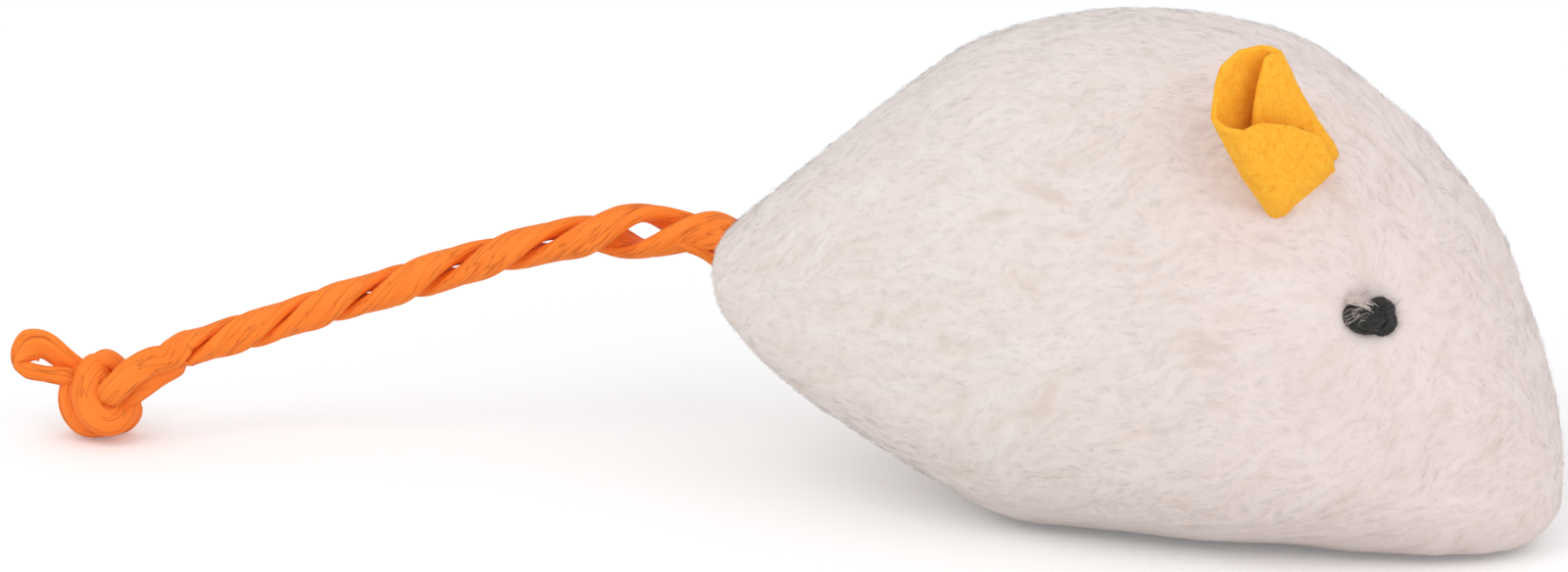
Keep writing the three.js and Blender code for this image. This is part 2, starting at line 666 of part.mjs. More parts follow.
// Least room between a tube's turns, measured on points along it
function leastRoom(points, radius) {
  const line = new THREE.CatmullRomCurve3(points).getSpacedPoints(300);
  const spacing = line[0].distanceTo(line[1]);
  const apart = Math.ceil(6 * radius / spacing);
  let least = Infinity;
  for (let i = 0; i < line.length; i += 1) {
    for (let j = i + apart; j < line.length; j += 1) {
      least = Math.min(least, line[i].distanceTo(line[j]) - 2 * radius);
    }
  }
  return least;
}
console.log(`least room in the knot ${leastRoom(knotPoints, KNOT_STRAND_RADIUS).toFixed(2)} mm`);

// Plush panels: the hollow body, with each panel's edge turned in along its seams
const halfGap = PIECE_GAP / 2;
const overSeam = seamBand(halfGap, BODY_HEIGHT);
const underSeam = seamBand(-BODY_HEIGHT, -halfGap);
const reachX = BODY_LENGTH / 2 + CUT_REACH;
const reachY = BODY_WIDTH / 2 + CUT_REACH;
const vector = (x, y, z) => new THREE.Vector3(x, y, z);

function turnedIn(thickness) {
  const back = block(vector(-reachX, -thickness, 0), vector(reachX, thickness, BODY_HEIGHT));
  return [back.intersect(seamBand(0, BODY_HEIGHT)), seamBand(-thickness, thickness)];
}

const edgeThickness = halfGap + BACKING_THICKNESS;
const cavity = join(
  cut(hollow(PLUSH_THICKNESS), ...turnedIn(edgeThickness)),
  hollow(PLUSH_THICKNESS + SEAM_ALLOWANCE),
);
const skin = cut(solidOf(bodyForm(SKIN_STATIONS, SKIN_AROUND)), cavity);
const rightSpace = block(vector(-reachX, -reachY, 0), vector(reachX, -halfGap, BODY_HEIGHT + CUT_REACH));
const leftSpace = block(vector(-reachX, halfGap, 0), vector(reachX, reachY, BODY_HEIGHT + CUT_REACH));
const sideCuts = [eyeThreadHole, tailHole, ...seamChannels];
const rightCuts = [rightEar.groove, rightEar.slit, rightEye.dimple].map(solidOf);
const leftCuts = [leftEar.groove, leftEar.slit, mirrored(leftEye.dimple)].map(solidOf);
const upperSkin = skin.intersect(overSeam);
const rightPanel = cut(upperSkin.intersect(rightSpace), ...rightCuts, ...sideCuts);
const leftPanel = cut(upperSkin.intersect(leftSpace), ...leftCuts, ...sideCuts);
const bellyPanel = cut(skin.intersect(underSeam), tailHole, ...seamChannels);

// Filling: two wads of fibre with the catnip held between them
const catnipForm = (clearance) => new THREE.SphereGeometry(1, 18, 12)
  .scale(CATNIP_LENGTH / 2 + clearance, CATNIP_WIDTH / 2 + clearance, CATNIP_DEPTH / 2 + clearance)
  .translate(FILLING_SPLIT, 0, CATNIP_HEIGHT);
const filling = join(
  cut(hollow(PLUSH_THICKNESS + PIECE_GAP), ...turnedIn(edgeThickness + PIECE_GAP)),
  hollow(PLUSH_THICKNESS + SEAM_ALLOWANCE + PIECE_GAP),
);
const catnipSpace = solidOf(catnipForm(PIECE_GAP));
const frontSpace = block(vector(FILLING_SPLIT + halfGap, -reachY, 0), vector(reachX, reachY, BODY_HEIGHT));
const rearSpace = block(vector(-reachX, -reachY, 0), vector(FILLING_SPLIT - halfGap, reachY, BODY_HEIGHT));
const frontCuts = [catnipSpace, eyeThreadHole, solidOf(rightEar.pocket), solidOf(leftEar.pocket)];
const frontWad = cut(filling.intersect(frontSpace), ...frontCuts);
const rearWad = cut(filling.intersect(rearSpace), catnipSpace, tailHole);

// Assembly
const mouse = new THREE.Group();
mouse.name = 'catnip_mouse';

function add(name, geometry, material) {
  const mesh = new THREE.Mesh(geometry, material);
  mesh.name = name;
  mouse.add(mesh);
}

add('side_panel_right', geometryOf(rightPanel), plush);
add('side_panel_left', geometryOf(leftPanel), plush);
add('belly_panel', geometryOf(bellyPanel), plush);
add('back_seam_thread', backSeamThread, whiteThread);
add('base_seam_thread_right', rightSeamThread, whiteThread);
add('base_seam_thread_left', mirrored(rightSeamThread), whiteThread);
add('stuffing_front', geometryOf(frontWad), fibreFill);
add('stuffing_rear', geometryOf(rearWad), fibreFill);
add('catnip_fill', catnipForm(0), driedLeaf);
add('ear_right', rightEar.leaf, felt);
add('ear_left', leftEar.leaf, felt);
add('ear_root_right', rightEar.root, felt);
add('ear_root_left', leftEar.root, felt);
add('ear_thread_right', rightEar.thread, whiteThread);
add('ear_thread_left', leftEar.thread, whiteThread);
add('eye_right', rightEye.knot, blackThread);
add('eye_left', mirrored(leftEye.knot), blackThread);
add('eye_thread', eyeThread, blackThread);
add('tail_anchor', tailAnchor, paperTwine);
add('tail_root', tailRoot, paperTwine);
add('tail_ply_first', firstStrand, paperTwine);
add('tail_ply_second', secondStrand, paperTwine);
add('tail_knot', tailKnot, paperTwine);
add('tail_loop', loopForm(), paperTwine);

export default mouse;
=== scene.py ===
import json
import math
import random

import bmesh
import bpy
import numpy as np
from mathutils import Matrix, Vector, noise
from mathutils.bvhtree import BVHTree


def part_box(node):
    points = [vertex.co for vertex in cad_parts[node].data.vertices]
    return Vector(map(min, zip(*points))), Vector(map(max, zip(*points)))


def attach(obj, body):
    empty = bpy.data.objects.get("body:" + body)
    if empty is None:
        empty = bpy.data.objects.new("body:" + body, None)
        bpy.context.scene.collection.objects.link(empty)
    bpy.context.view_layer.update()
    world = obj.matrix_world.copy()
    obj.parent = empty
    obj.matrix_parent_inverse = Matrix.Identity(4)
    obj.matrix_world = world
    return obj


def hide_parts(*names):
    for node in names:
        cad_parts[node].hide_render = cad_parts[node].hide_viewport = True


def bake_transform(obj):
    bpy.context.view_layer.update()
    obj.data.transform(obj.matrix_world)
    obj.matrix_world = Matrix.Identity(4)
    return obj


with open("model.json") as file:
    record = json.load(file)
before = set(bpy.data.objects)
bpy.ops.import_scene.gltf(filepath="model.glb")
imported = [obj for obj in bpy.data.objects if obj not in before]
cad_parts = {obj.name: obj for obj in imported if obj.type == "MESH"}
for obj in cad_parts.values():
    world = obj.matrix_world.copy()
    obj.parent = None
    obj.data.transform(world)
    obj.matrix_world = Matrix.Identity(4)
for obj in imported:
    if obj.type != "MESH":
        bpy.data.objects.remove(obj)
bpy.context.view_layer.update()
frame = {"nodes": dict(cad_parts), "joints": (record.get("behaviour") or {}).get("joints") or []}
scene = bpy.context.scene
MM = 0.001


# The view and the light
# The mouse is seen from its right side, a little from the front and from above, on a white table
# under large soft lamps, as small goods are photographed.
VIEW_AZIMUTH = math.radians(22)
VIEW_ELEVATION = math.radians(16)
VIEW_DISTANCE = 450 * MM
VIEW_NEAREST = 10 * MM
VIEW_LENS_MM = 155.1
VIEW_MIDDLE = Vector((-21.8 * MM, -8.55 * MM, 14.84 * MM))
BODY_MIDDLE = Vector((0, 0, 14 * MM))
LAMPS = (           # name, place, size, and its light as a share of a white world's
    ("key_lamp", (-0.25, -0.75, 0.85), 0.7, 0.22),
    ("fill_lamp", (0.75, -0.45, 0.45), 0.8, 0.25),
)
WORLD_COLOUR = (0.98, 0.99, 1, 1)
WORLD_STRENGTH = 0.76
FLOOR_SIZE = 6
FLOOR_GREY = (0.9, 0.9, 0.9, 1)
FLOOR_ROUGHNESS = 0.9
FLOOR_WHITENING = 0.16


def in_scene(name, data):
    """A new object in the scene, at the origin."""
    obj = bpy.data.objects.new(name, data)
    scene.collection.objects.link(obj)
    return obj


def wired(tree, kind, wires=(), **settings):
    """A new node in a tree. Each of wires is an input and the link or the value that it gets."""
    node = tree.nodes.new(kind)
    for key, value in settings.items():
        setattr(node, key, value)
    for socket, source in wires:
        if isinstance(source, bpy.types.NodeSocket):
            tree.links.new(source, node.inputs[socket])
        else:
            node.inputs[socket].default_value = source
    return node


def maths(tree, operation, *values):
    """The result of a sum on links or numbers."""
    return wired(tree, "ShaderNodeMath", enumerate(values), operation=operation).outputs[0]


def new_material(name, values):
    """A new material, its node tree and its shader with the given values."""
    material = bpy.data.materials.new(name)
    material.use_nodes = True
    shader = material.node_tree.nodes["Principled BSDF"]
    for key, value in values.items():
        shader.inputs[key].default_value = value
    return material, material.node_tree, shader


toward_camera = Vector((
    math.sin(VIEW_AZIMUTH) * math.cos(VIEW_ELEVATION),
    -math.cos(VIEW_AZIMUTH) * math.cos(VIEW_ELEVATION),
    math.sin(VIEW_ELEVATION),
))
camera = in_scene("camera", bpy.data.cameras.new("camera"))
camera.data.lens = VIEW_LENS_MM
camera.data.clip_start = VIEW_NEAREST
camera.location = BODY_MIDDLE + VIEW_DISTANCE * toward_camera
level_view = (-toward_camera).to_track_quat("-Z", "Y")
turned_aside = (-toward_camera).rotation_difference(VIEW_MIDDLE - camera.location)
camera.rotation_euler = (turned_aside @ level_view).to_euler()
scene.camera = camera
scene.view_settings.view_transform = "Standard"

for name, place, size, share in LAMPS:
    reach = BODY_MIDDLE - Vector(place)
    lamp = in_scene(name, bpy.data.lights.new(name, "AREA"))
    lamp.data.size = size
    lamp.data.energy = math.pi ** 2 * share * reach.length_squared
    lamp.location = place
    lamp.rotation_euler = reach.to_track_quat("-Z", "Y").to_euler()

world = bpy.data.worlds.new("studio")
world.use_nodes = True
world.node_tree.nodes["Background"].inputs["Color"].default_value = WORLD_COLOUR
world.node_tree.nodes["Background"].inputs["Strength"].default_value = WORLD_STRENGTH
scene.world = world

floor_mesh = bpy.data.meshes.new("floor")
edge = FLOOR_SIZE / 2
floor_mesh.from_pydata([(-edge, -edge, 0), (edge, -edge, 0), (edge, edge, 0), (-edge, edge, 0)], [],
                       [(0, 1, 2, 3)])
floor = in_scene("floor", floor_mesh)

table_top, tree, surface = new_material("white_table", {
    "Base Color": FLOOR_GREY, "Roughness": FLOOR_ROUGHNESS, "Emission Color": (1, 1, 1, 1)})
ray = wired(tree, "ShaderNodeLightPath").outputs
seen = maths(tree, "MAXIMUM", ray["Is Camera Ray"], ray["Is Glossy Ray"])
seen = maths(tree, "MAXIMUM", seen, ray["Is Transmission Ray"])
tree.links.new(maths(tree, "MULTIPLY", seen, FLOOR_WHITENING), surface.inputs["Emission Strength"])
floor_mesh.materials.append(table_top)


# The tail
# One strip of orange paper raffia, doubled and twisted on itself, is sewn into the rear end of the body.
# It comes out of the plush a little frayed, slopes down to the table and ends in a knot.
PLY_WIDTH = 2.3 * MM
PLY_THICKNESS = 1.3 * MM
PLY_OFFSET = 0.72 * MM
PLY_STEPS, PLY_SIDES = 300, 42
PLY_CROSSINGS = (-4.3, 2.8, 9.6, 16.2, 22.4, 28.3, 34, 39.7, 45)
PLY_OPENING = 0.55 * MM
PLY_OPENING_AT, PLY_OPENING_REACH = 6.5, 3.0
PLY_FLARE, PLY_FLARE_AT, PLY_FLARE_REACH = 0.35, 0.4, 1.4
PLY_DRAWN_IN = 0.14 * MM
PLY_DRAWN_IN_FROM, PLY_DRAWN_IN_OVER = 22, 10
PLY_END_SHARE = 0.85
PLEATS = 5
PLEAT_DEPTH = 0.11 * MM
TAIL_INSIDE_MM = 1.5
TAIL_ROUTE = (      # distance out of the body, height, and drift to the left where there is any
    (-1.9, 13.9, -0.7), (-0.6, 14.85, -0.25), (1.5, 15.35), (3.6, 15.5), (6.51, 15.5), (10.02, 15.1),
    (13.34, 14.4), (16.76, 13.4), (20.09, 12.4), (23.62, 11.2), (26.65, 10.3), (29.79, 9.2), (33.94, 7.8),
    (37.8, 6.6),
)
PLY_ENDS = (
    ((39.0, 6.3, -1.1), (40.0, 6.15, -1.75), (41.2, 5.55, -2.3), (42.1, 4.75, -2.6), (42.8, 4.0, -2.55),
     (43.3, 3.3, -2.2)),
    ((39.0, 5.35, 0.0), (39.9, 4.95, -0.7), (40.8, 4.35, -1.2), (41.7, 3.7, -1.2), (42.5, 3.1, -0.8),
     (43.3, 2.7, 0.0)),
)
KNOT_ENTRY = ((39.0, 5.8), (40.8, 5.0, -0.6), (42.3, 4.2, -0.9))
FRAYED_END = ((4.2, 15.4, -1.0), (3.0, 15.0, -1.25), (1.6, 14.4, -1.1), (0.65, 13.65, -0.8),
              (-0.1, 12.95, -0.3), (-0.7, 12.6, 0.1))
FRAYED_SIZE = (0.9 * MM, 0.45 * MM)
FRINGE_STRANDS = 30
FRINGE_SEED = 17
FRINGE_HEIGHT = 15.2
FRINGE_FROM, FRINGE_ROUND = 0.75, 1.5
FRINGE_SPREAD = (1.35, 1.8)
FRINGE_WIDTH = (0.1, 0.3)
FRINGE_THICKNESS = 0.1 * MM

joints = {joint["name"]: joint for joint in frame["joints"]}
swing_pivot = Vector(joints["tail_swing"]["pos_m"])
lift_pivot = Vector(joints["tail_lift"]["pos_m"])
tail_out = Vector((lift_pivot.x - swing_pivot.x, lift_pivot.y - swing_pivot.y, 0)).normalized()
tail_aside = tail_out.cross(Vector((0, 0, 1)))
tail_start = swing_pivot - tail_out * TAIL_INSIDE_MM * MM
tail_start.z = 0


def tail_point(out_mm, height_mm, aside_mm=0):
    """A point beside the tail, from its distance out of the body, its height and its drift to the left."""
    return tail_start + tail_out * out_mm * MM + tail_aside * aside_mm * MM + Vector((0, 0, height_mm * MM))


def smooth_line(points, steps):
    """A Catmull-Rom curve through points, at even steps of its length, and that length."""
    ends = [points[0] * 2 - points[1], *points, points[-1] * 2 - points[-2]]
    fine = []
    for a, b, c, d in zip(ends, ends[1:], ends[2:], ends[3:]):
        for i in range(16):
            t = i / 16
            fine.append(0.5 * (2 * b + (c - a) * t + (2 * a - 5 * b + 4 * c - d) * t * t
                               + (3 * b - a - 3 * c + d) * t ** 3))
    fine.append(points[-1])
    run = np.concatenate([[0], np.cumsum([(q - p).length for p, q in zip(fine, fine[1:])])])
    line = np.array([p[:] for p in fine])
    at = np.linspace(0, run[-1], steps + 1)
    return [Vector(p) for p in np.stack([np.interp(at, run, line[:, k]) for k in range(3)], 1)], run[-1]


def way_at(line, i):
    """The way that a line runs at one of its points."""
    return (line[min(i + 1, len(line) - 1)] - line[max(i - 1, 0)]).normalized()


def ribbon_tube(bm, line, sides, shape, along_start=0.0):
    """A closed tube along a line. shape(i, turn, share) gives a rim point's place from the line's point."""
    uv = bm.loops.layers.uv.get("paper") or bm.loops.layers.uv.new("paper")
    rings = []
    for i, point in enumerate(line):
        share = i / (len(line) - 1)
        rings.append([bm.verts.new(point + shape(i, 2 * math.pi * j / sides, share)) for j in range(sides)])
    run = along_start
    for i, (ring, after) in enumerate(zip(rings, rings[1:])):
        step = (line[i + 1] - line[i]).length / MM
        for j in range(sides):
            k = (j + 1) % sides
            face = bm.faces.new((ring[j], ring[k], after[k], after[j]))
            face.smooth = True
            corners = ((j, run), (j + 1, run), (j + 1, run + step), (j, run + step))
            for loop, (turn, distance) in zip(face.loops, corners):
                loop[uv].uv = (turn / sides, distance)
        run += step
    for ring, distance, order in ((rings[0], along_start, -1), (rings[-1], run, 1)):
        middle = bm.verts.new(sum((v.co for v in ring), Vector()) / sides)
        for one, other in zip(ring, ring[1:] + ring[:1]):
            face = bm.faces.new((*(one, other)[::order], middle))
            face.smooth = True
            for loop in face.loops:
                loop[uv].uv = (0.5, distance)


def pleat(turn, distance_mm, seed):
    """How far the paper is creased in at a place round and along a ply, from 0 to 1."""
    drift = 1.6 * noise.noise((0.12 * distance_mm, seed, 0))
    depth = 0.55 + 0.45 * noise.noise((0.35 * distance_mm, seed + 7, 2 * math.cos(turn)))
    return depth * (1 - abs(math.sin(PLEATS * turn / 2 + drift * 2))) ** 3


def strip_of_paper(bm, stations, sizes, faces, steps, sides, seed, along_start, round_ends=(0, 1)):
    """A crumpled strip through stations, with its width and thickness and its broad side at each."""
    line, length = smooth_line(stations, steps)
    spread = np.cumsum([0] + [(q - p).length for p, q in zip(stations, stations[1:])])
    share_at = np.linspace(0, 1, len(line))

    def along_line(rows):
        return np.stack([np.interp(share_at, spread / spread[-1], column) for column in zip(*rows)], 1)

    widths, broad = along_line(sizes), along_line(faces)

    def rim(i, turn, share):
        wide, thick = widths[i]
        way = way_at(line, i)
        outward = Vector(broad[i])
        outward = (outward - way * outward.dot(way)).normalized()
        distance = share * length / MM
        crease = PLEAT_DEPTH * pleat(turn, distance, seed)
        swell = 1 + 0.1 * noise.noise((0.22 * distance, seed, 4))
        for end, reach in zip((share, 1 - share), round_ends):
            near = end * length / max(reach * wide / 2, 1e-9)
            if reach and near < 1:
                swell *= math.sqrt(max(1 - (1 - near) ** 2, 0.015))
        return (outward.cross(way) * ((wide / 2 - crease) * swell * math.cos(turn))
                + outward * ((thick / 2 - crease) * swell * math.sin(turn)))

    ribbon_tube(bm, line, sides, rim, along_start)


def mesh_from(bm, name):
    """A finished mesh from the one that was worked on."""
    mesh = bpy.data.meshes.new(name)
    bm.to_mesh(mesh)
    bm.free()
    return mesh


def piece(name, bm, material):
    """A finished mesh as an object at the origin."""
    mesh = mesh_from(bm, name)
    mesh.materials.append(material)
    return in_scene(name, mesh)


def colour_steps(tree, source, stops):
    """A colour ramp on a value, from (place, colour) stops."""
    ramp = wired(tree, "ShaderNodeValToRGB", (("Fac", source),))
    while len(ramp.color_ramp.elements) < len(stops):
        ramp.color_ramp.elements.new(0.5)
    for element, (place, colour) in zip(ramp.color_ramp.elements, stops):
        element.position = place
        element.color = (*colour, 1)
    return ramp.outputs["Color"]


def noise_on(tree, place, scale, detail, **shape):
    """A noise over places, from 0 to 1."""
    wires = (("Vector", place), ("Scale", scale), ("Detail", detail), *shape.items())
    return wired(tree, "ShaderNodeTexNoise", wires).outputs["Fac"]


def bumped(tree, shader, height, distance, strength=1.0):
    """Gives a shader fine relief from a height."""
    bump = wired(tree, "ShaderNodeBump", (("Height", height), ("Distance", distance), ("Strength", strength)))
    tree.links.new(bump.outputs["Normal"], shader.inputs["Normal"])


def paper_raffia():
    """Crinkled orange paper: fine creases run along the strip, with painted shade darkening the folds."""
    material, tree, shader = new_material("orange_paper", {"Roughness": 0.62, "Specular IOR Level": 0.3})
    place = wired(tree, "ShaderNodeUVMap", uv_map="paper").outputs["UV"]
    stretch = wired(tree, "ShaderNodeMapping", (("Vector", place), ("Scale", (15, 0.16, 1))))
    fibres = noise_on(tree, stretch.outputs["Vector"], 1.6, 6, Roughness=0.62, Distortion=0.4)
    tint = colour_steps(tree, fibres, (
        (0.26, (0.8, 0.145, 0.009)), (0.42, (0.98, 0.215, 0.017)),
        (0.62, (1.0, 0.25, 0.026)), (0.8, (1.0, 0.31, 0.048))))
    drawn_out = wired(tree, "ShaderNodeMapping", (
        ("Vector", place), ("Scale", (4.5, 0.075, 1)), ("Rotation", (0, 0, 0.02))))
    folds = noise_on(tree, drawn_out.outputs["Vector"], 1.3, 3, Roughness=0.55)
    # painted shade: a thin line of dark orange-brown is mixed into the colour along each fold, where the same
    # line sinks the relief
    crease = colour_steps(tree, folds, (
        (0.48, (0, 0, 0)), (0.492, (1, 1, 1)), (0.498, (1, 1, 1)), (0.51, (0, 0, 0))))
    share = maths(tree, "MULTIPLY", crease, 0.45)
    shaded = wired(tree, "ShaderNodeMix", data_type="RGBA", wires=(
        ("Factor", share), (6, tint), (7, (0.42, 0.06, 0.004, 1))))
    tree.links.new(shaded.outputs[2], shader.inputs["Base Color"])
    bumped(tree, shader, maths(tree, "SUBTRACT", fibres, share), 0.12 * MM, 0.6)
    return material


orange_paper = paper_raffia()
tail_line, _ = smooth_line([tail_point(*place) for place in TAIL_ROUTE], 90)
out_along = [(p - tail_start).dot(tail_out) / MM for p in tail_line]
half_turns = np.interp(out_along, PLY_CROSSINGS, range(len(PLY_CROSSINGS)))
tail_mesh = bmesh.new()
for side, ply_end in enumerate(PLY_ENDS):
    stations, sizes, faces = [], [], []
    for i, (point, out) in enumerate(zip(tail_line, out_along)):
        upward = tail_aside.cross(way_at(tail_line, i)).normalized()
        turn = math.pi * (half_turns[i] + side)
        radial = tail_aside * math.cos(turn) + upward * math.sin(turn)
        opening = PLY_OPENING * math.exp(-((out - PLY_OPENING_AT) / PLY_OPENING_REACH) ** 2)
        flare = 1 + PLY_FLARE * math.exp(-((out - PLY_FLARE_AT) / PLY_FLARE_REACH) ** 2)
        drawn_in = PLY_DRAWN_IN * min(max((out - PLY_DRAWN_IN_FROM) / PLY_DRAWN_IN_OVER, 0), 1)
        stations.append(point + radial * (PLY_OFFSET + opening - drawn_in))
        sizes.append((PLY_WIDTH * flare, PLY_THICKNESS))
        faces.append(radial)
    stations += [tail_point(*place) for place in ply_end]
    sizes += [(PLY_WIDTH * PLY_END_SHARE, PLY_THICKNESS * PLY_END_SHARE)] * len(ply_end)
    faces += [-tail_aside] * len(ply_end)
    strip_of_paper(tail_mesh, stations, sizes, faces, PLY_STEPS, PLY_SIDES, 3.0 + 8 * side, 90.0 * side)
strip_of_paper(tail_mesh, [tail_point(*place) for place in FRAYED_END], [FRAYED_SIZE] * len(FRAYED_END),
               [-tail_aside] * len(FRAYED_END), 40, 16, 20.0, 150.0, (1, 0))
fringe = random.Random(FRINGE_SEED)
for number in range(FRINGE_STRANDS):
    place = (number + fringe.uniform(-0.4, 0.4)) / FRINGE_STRANDS
    turn = math.pi * (FRINGE_FROM + FRINGE_ROUND * place)
    spread = fringe.uniform(*FRINGE_SPREAD)
    stations = [
        tail_point(out + 0.25 * math.sin(turn), FRINGE_HEIGHT + reach * math.sin(turn), reach * math.cos(turn))
        for out, reach in ((1.9, 1.0), (1.0, 1.2), (0.2, 0.45 + 0.55 * spread), (-0.5, spread))]
    outward = [station - tail_point(0.5, FRINGE_HEIGHT) for station in stations]
    size = (fringe.uniform(*FRINGE_WIDTH) * MM, FRINGE_THICKNESS)
    strip_of_paper(tail_mesh, stations, [size] * 4, outward, 12, 6, 40.0 + number, 200.0 + 3 * number)
tail = piece("tail_twine", tail_mesh, orange_paper)

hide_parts("tail_root", "tail_ply_first", "tail_ply_second")
cord_path = [p[:] for p, out in zip(tail_line, out_along) if out >= 0]
cord_path += [tail_point(*place)[:] for place in KNOT_ENTRY]


# The knot and the loop
# The doubled strip is tied in one tight overhand knot. The fold of the strip stands out beyond the knot
# as a small flat loop, and the strip goes into the knot in a rounded fold at the front.
KNOT_OUT, KNOT_HEIGHT = 44.3, 2.8
KNOT_LOWEST = 0.12 * MM
KNOT_BANDS = (      # width, thickness, how far it faces away from the middle, its side, and its places
    (1.7, 1.25, 0.55, -1, (
        (44.5, 5.0, 0.9), (45.45, 4.7, 0.3), (46.1, 3.65, -0.4), (46.05, 2.4, -0.9), (45.3, 1.3, -1.0),
        (44.25, 0.95, -0.7), (43.3, 1.0, 0.1), (42.8, 1.5, 0.8))),
    (2.5, 1.5, 0.25, -1, (
        (43.5, 5.3, 0.2), (44.2, 5.05, -0.9), (44.5, 3.9, -1.6), (44.25, 2.7, -1.9), (43.3, 2.0, -2.0),
        (42.6, 2.15, -1.6), (42.25, 2.7, -0.8), (42.4, 3.4, 0.2))),
    (2.6, 1.5, 0.4, 1, (
        (42.9, 4.5, 1.0), (44.9, 4.2, 1.5), (46.0, 2.9, 1.6), (45.7, 1.3, 1.6), (44.4, 0.95, 1.6),
        (42.8, 1.4, 1.4), (42.25, 3.0, 1.0))),
    (1.9, 1.3, 0.9, -1, (
        (42.1, 3.3, 0.9), (42.6, 4.9, 0.4), (43.5, 5.75, 0.0), (44.4, 5.2, -0.1), (45.2, 4.0, 0.2))),
    (2.8, 2.2, 0.5, -1, (
        (43.2, 4.2, 0), (44.2, 3.5, -0.1), (44.4, 2.4, -0.1), (43.6, 1.8, 0), (42.6, 2.4, 0.1))),
)
LOOP_STATIONS = (   # place, width and thickness
    ((44.9, 4.4, 0.5), 1.3, 1.0), ((46.5, 5.55, 0.3), 1.8, 0.8), ((47.8, 6.6, 0.1), 2.1, 0.6),
    ((48.8, 6.6, 0.0), 2.5, 0.55), ((49.5, 6.0, -0.2), 1.6, 0.8), ((49.65, 5.4, -0.5), 0.7, 1.0),
    ((48.9, 5.05, -0.7), 1.2, 0.75), ((47.7, 4.85, -0.8), 1.15, 0.7), ((46.2, 4.6, -0.6), 1.5, 0.9),
    ((45.1, 4.1, -0.3), 1.4, 1.0),
)

knot_middle = tail_point(KNOT_OUT, KNOT_HEIGHT)
knot_mesh = bmesh.new()
for number, (width, thickness, away, toward, band) in enumerate(KNOT_BANDS):
    stations = [tail_point(*place) for place in band]
    faces = [tail_aside * toward * (1 - away) + (place - knot_middle).normalized() * away for place in stations]
    strip_of_paper(knot_mesh, stations, [(width * MM, thickness * MM)] * len(stations), faces, 90, 36,
                   5.0 + 3 * number, 30.0 + 15 * number, (1, 1))
for vertex in knot_mesh.verts:
    vertex.co.z = max(vertex.co.z, KNOT_LOWEST)
knot = piece("tail_knot_tied", knot_mesh, orange_paper)
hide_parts("tail_knot")

loop_mesh = bmesh.new()
strip_of_paper(loop_mesh, [tail_point(*place) for place, _, _ in LOOP_STATIONS],
               [(width * MM, thickness * MM) for _, width, thickness in LOOP_STATIONS],
               [-tail_aside] * len(LOOP_STATIONS), 120, 36, 9.0, 60)
loop = piece("tail_loop_fold", loop_mesh, orange_paper)
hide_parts("tail_loop")

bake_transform(tail)
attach(knot, "tail")
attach(loop, "tail")


# The plush body
# Three panels of short-pile plush, two sides and a belly, are sewn inside out, turned and stuffed.
# The seams hold the cloth in, the filling swells it between them, and a thread draws it in at the eyes.
PANELS = {"side_panel_right": "plush_right", "side_panel_left": "plush_left", "belly_panel": "plush_belly"}
PILE_DEPTH = -0.12 * MM
OPENING_REACH = 2.8 * MM
BACKING_THICKNESS = 0.7 * MM
CLOTH_GRAIN = 1.05 * MM
SEAM_REACH = 0.9 * MM
SEAM_DEPTH = 0.04 * MM
SWELL_LIMIT = 0.5 * MM
CLOTH_TIMES = 20
CLOTH_FRAMES = 20
CLOTH = {
    "quality": 5, "mass": 0.4, "tension_stiffness": 40, "compression_stiffness": 40, "shear_stiffness": 20,
    "bending_stiffness": 2, "use_pressure": True, "uniform_pressure_force": 5, "vertex_group_mass": "seams",
}
LUMP_SIZE = 9 * MM
LUMP_HEIGHT = 0.25 * MM
LUMP_START = Vector((3.1, 0.7, 5.2))
FORM_LUMPS = (      # place, height and reach
    ((22.6, 6.3, 19.6), 0.4, 4.0), ((9.6, 5.2, 31.3), 0.3, 3.0), ((15.2, 6.2, 28.0), -0.45, 2.0),
    ((-12.2, 1.3, 29.7), 0.45, 4.5), ((-28.9, -6.0, 14.2), -0.35, 4.0), ((-5.4, -8.5, 1.3), 0.6, 4.0),
    ((13.5, -6.2, 0.0), -0.5, 4.5), ((27.4, -0.9, 0.6), 0.3, 3.0),
)
EAR_MOUND = 0.85 * MM
EAR_MOUND_REACH = 3.4 * MM
EYE_PULL = 0.75 * MM
EYE_PULL_REACH = 2.6 * MM
CLOTH_LOWEST = 0.6 * MM
TUFTS_LOWEST = 0.35 * MM
COMB = Vector((-0.95, 0, -0.3))
COMB_SWIRL = 1.0
SWIRL_SIZE = 3.2 * MM
SWIRL_SEED = 5
EYE_PARTING = 5.5 * MM
TUFT_WIDTH = 0.42 * MM
TUFT_RUN = 1.3 * MM
TUFT_HEIGHT = 0.022 * MM
TUFT_SEED = 21
TUFT_CELLS = 61


def surface_of(mesh):
    """A mesh's surface, to find the nearest place on it."""
    return BVHTree.FromPolygons([v.co for v in mesh.vertices], [p.vertices for p in mesh.polygons])


def middle_of(name):
    """The middle of a CAD node's box."""
    low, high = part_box(name)
    return (low + high) / 2


def shaped(obj, kind, **settings):
    """Adds a modifier with its settings to an object."""
    modifier = obj.modifiers.new(kind.lower(), kind)
    for key, value in settings.items():
        setattr(modifier, key, value)


def evaluated_copy(obj, name):
    """The mesh that an object shows with its modifiers, as a plain mesh."""
    mesh = bpy.data.meshes.new_from_object(obj.evaluated_get(bpy.context.evaluated_depsgraph_get()))
    mesh.name = name
    return mesh


def settled(obj):
    """Gives an object the mesh that its modifiers make, in their place."""
    mesh = evaluated_copy(obj, obj.name)
    obj.modifiers.clear()
    obj.data = mesh
    return mesh


def places_of(mesh):
    """A mesh's vertices as rows of numbers."""
    places = np.empty(len(mesh.vertices) * 3)
    mesh.vertices.foreach_get("co", places)
    return places.reshape(-1, 3)


def normals_of(mesh):
    """A mesh's vertex normals as rows of numbers."""
    normals = np.empty(len(mesh.vertices) * 3, np.float32)
    mesh.vertex_normals.foreach_get("vector", normals)
    return normals.reshape(-1, 3).astype(float)


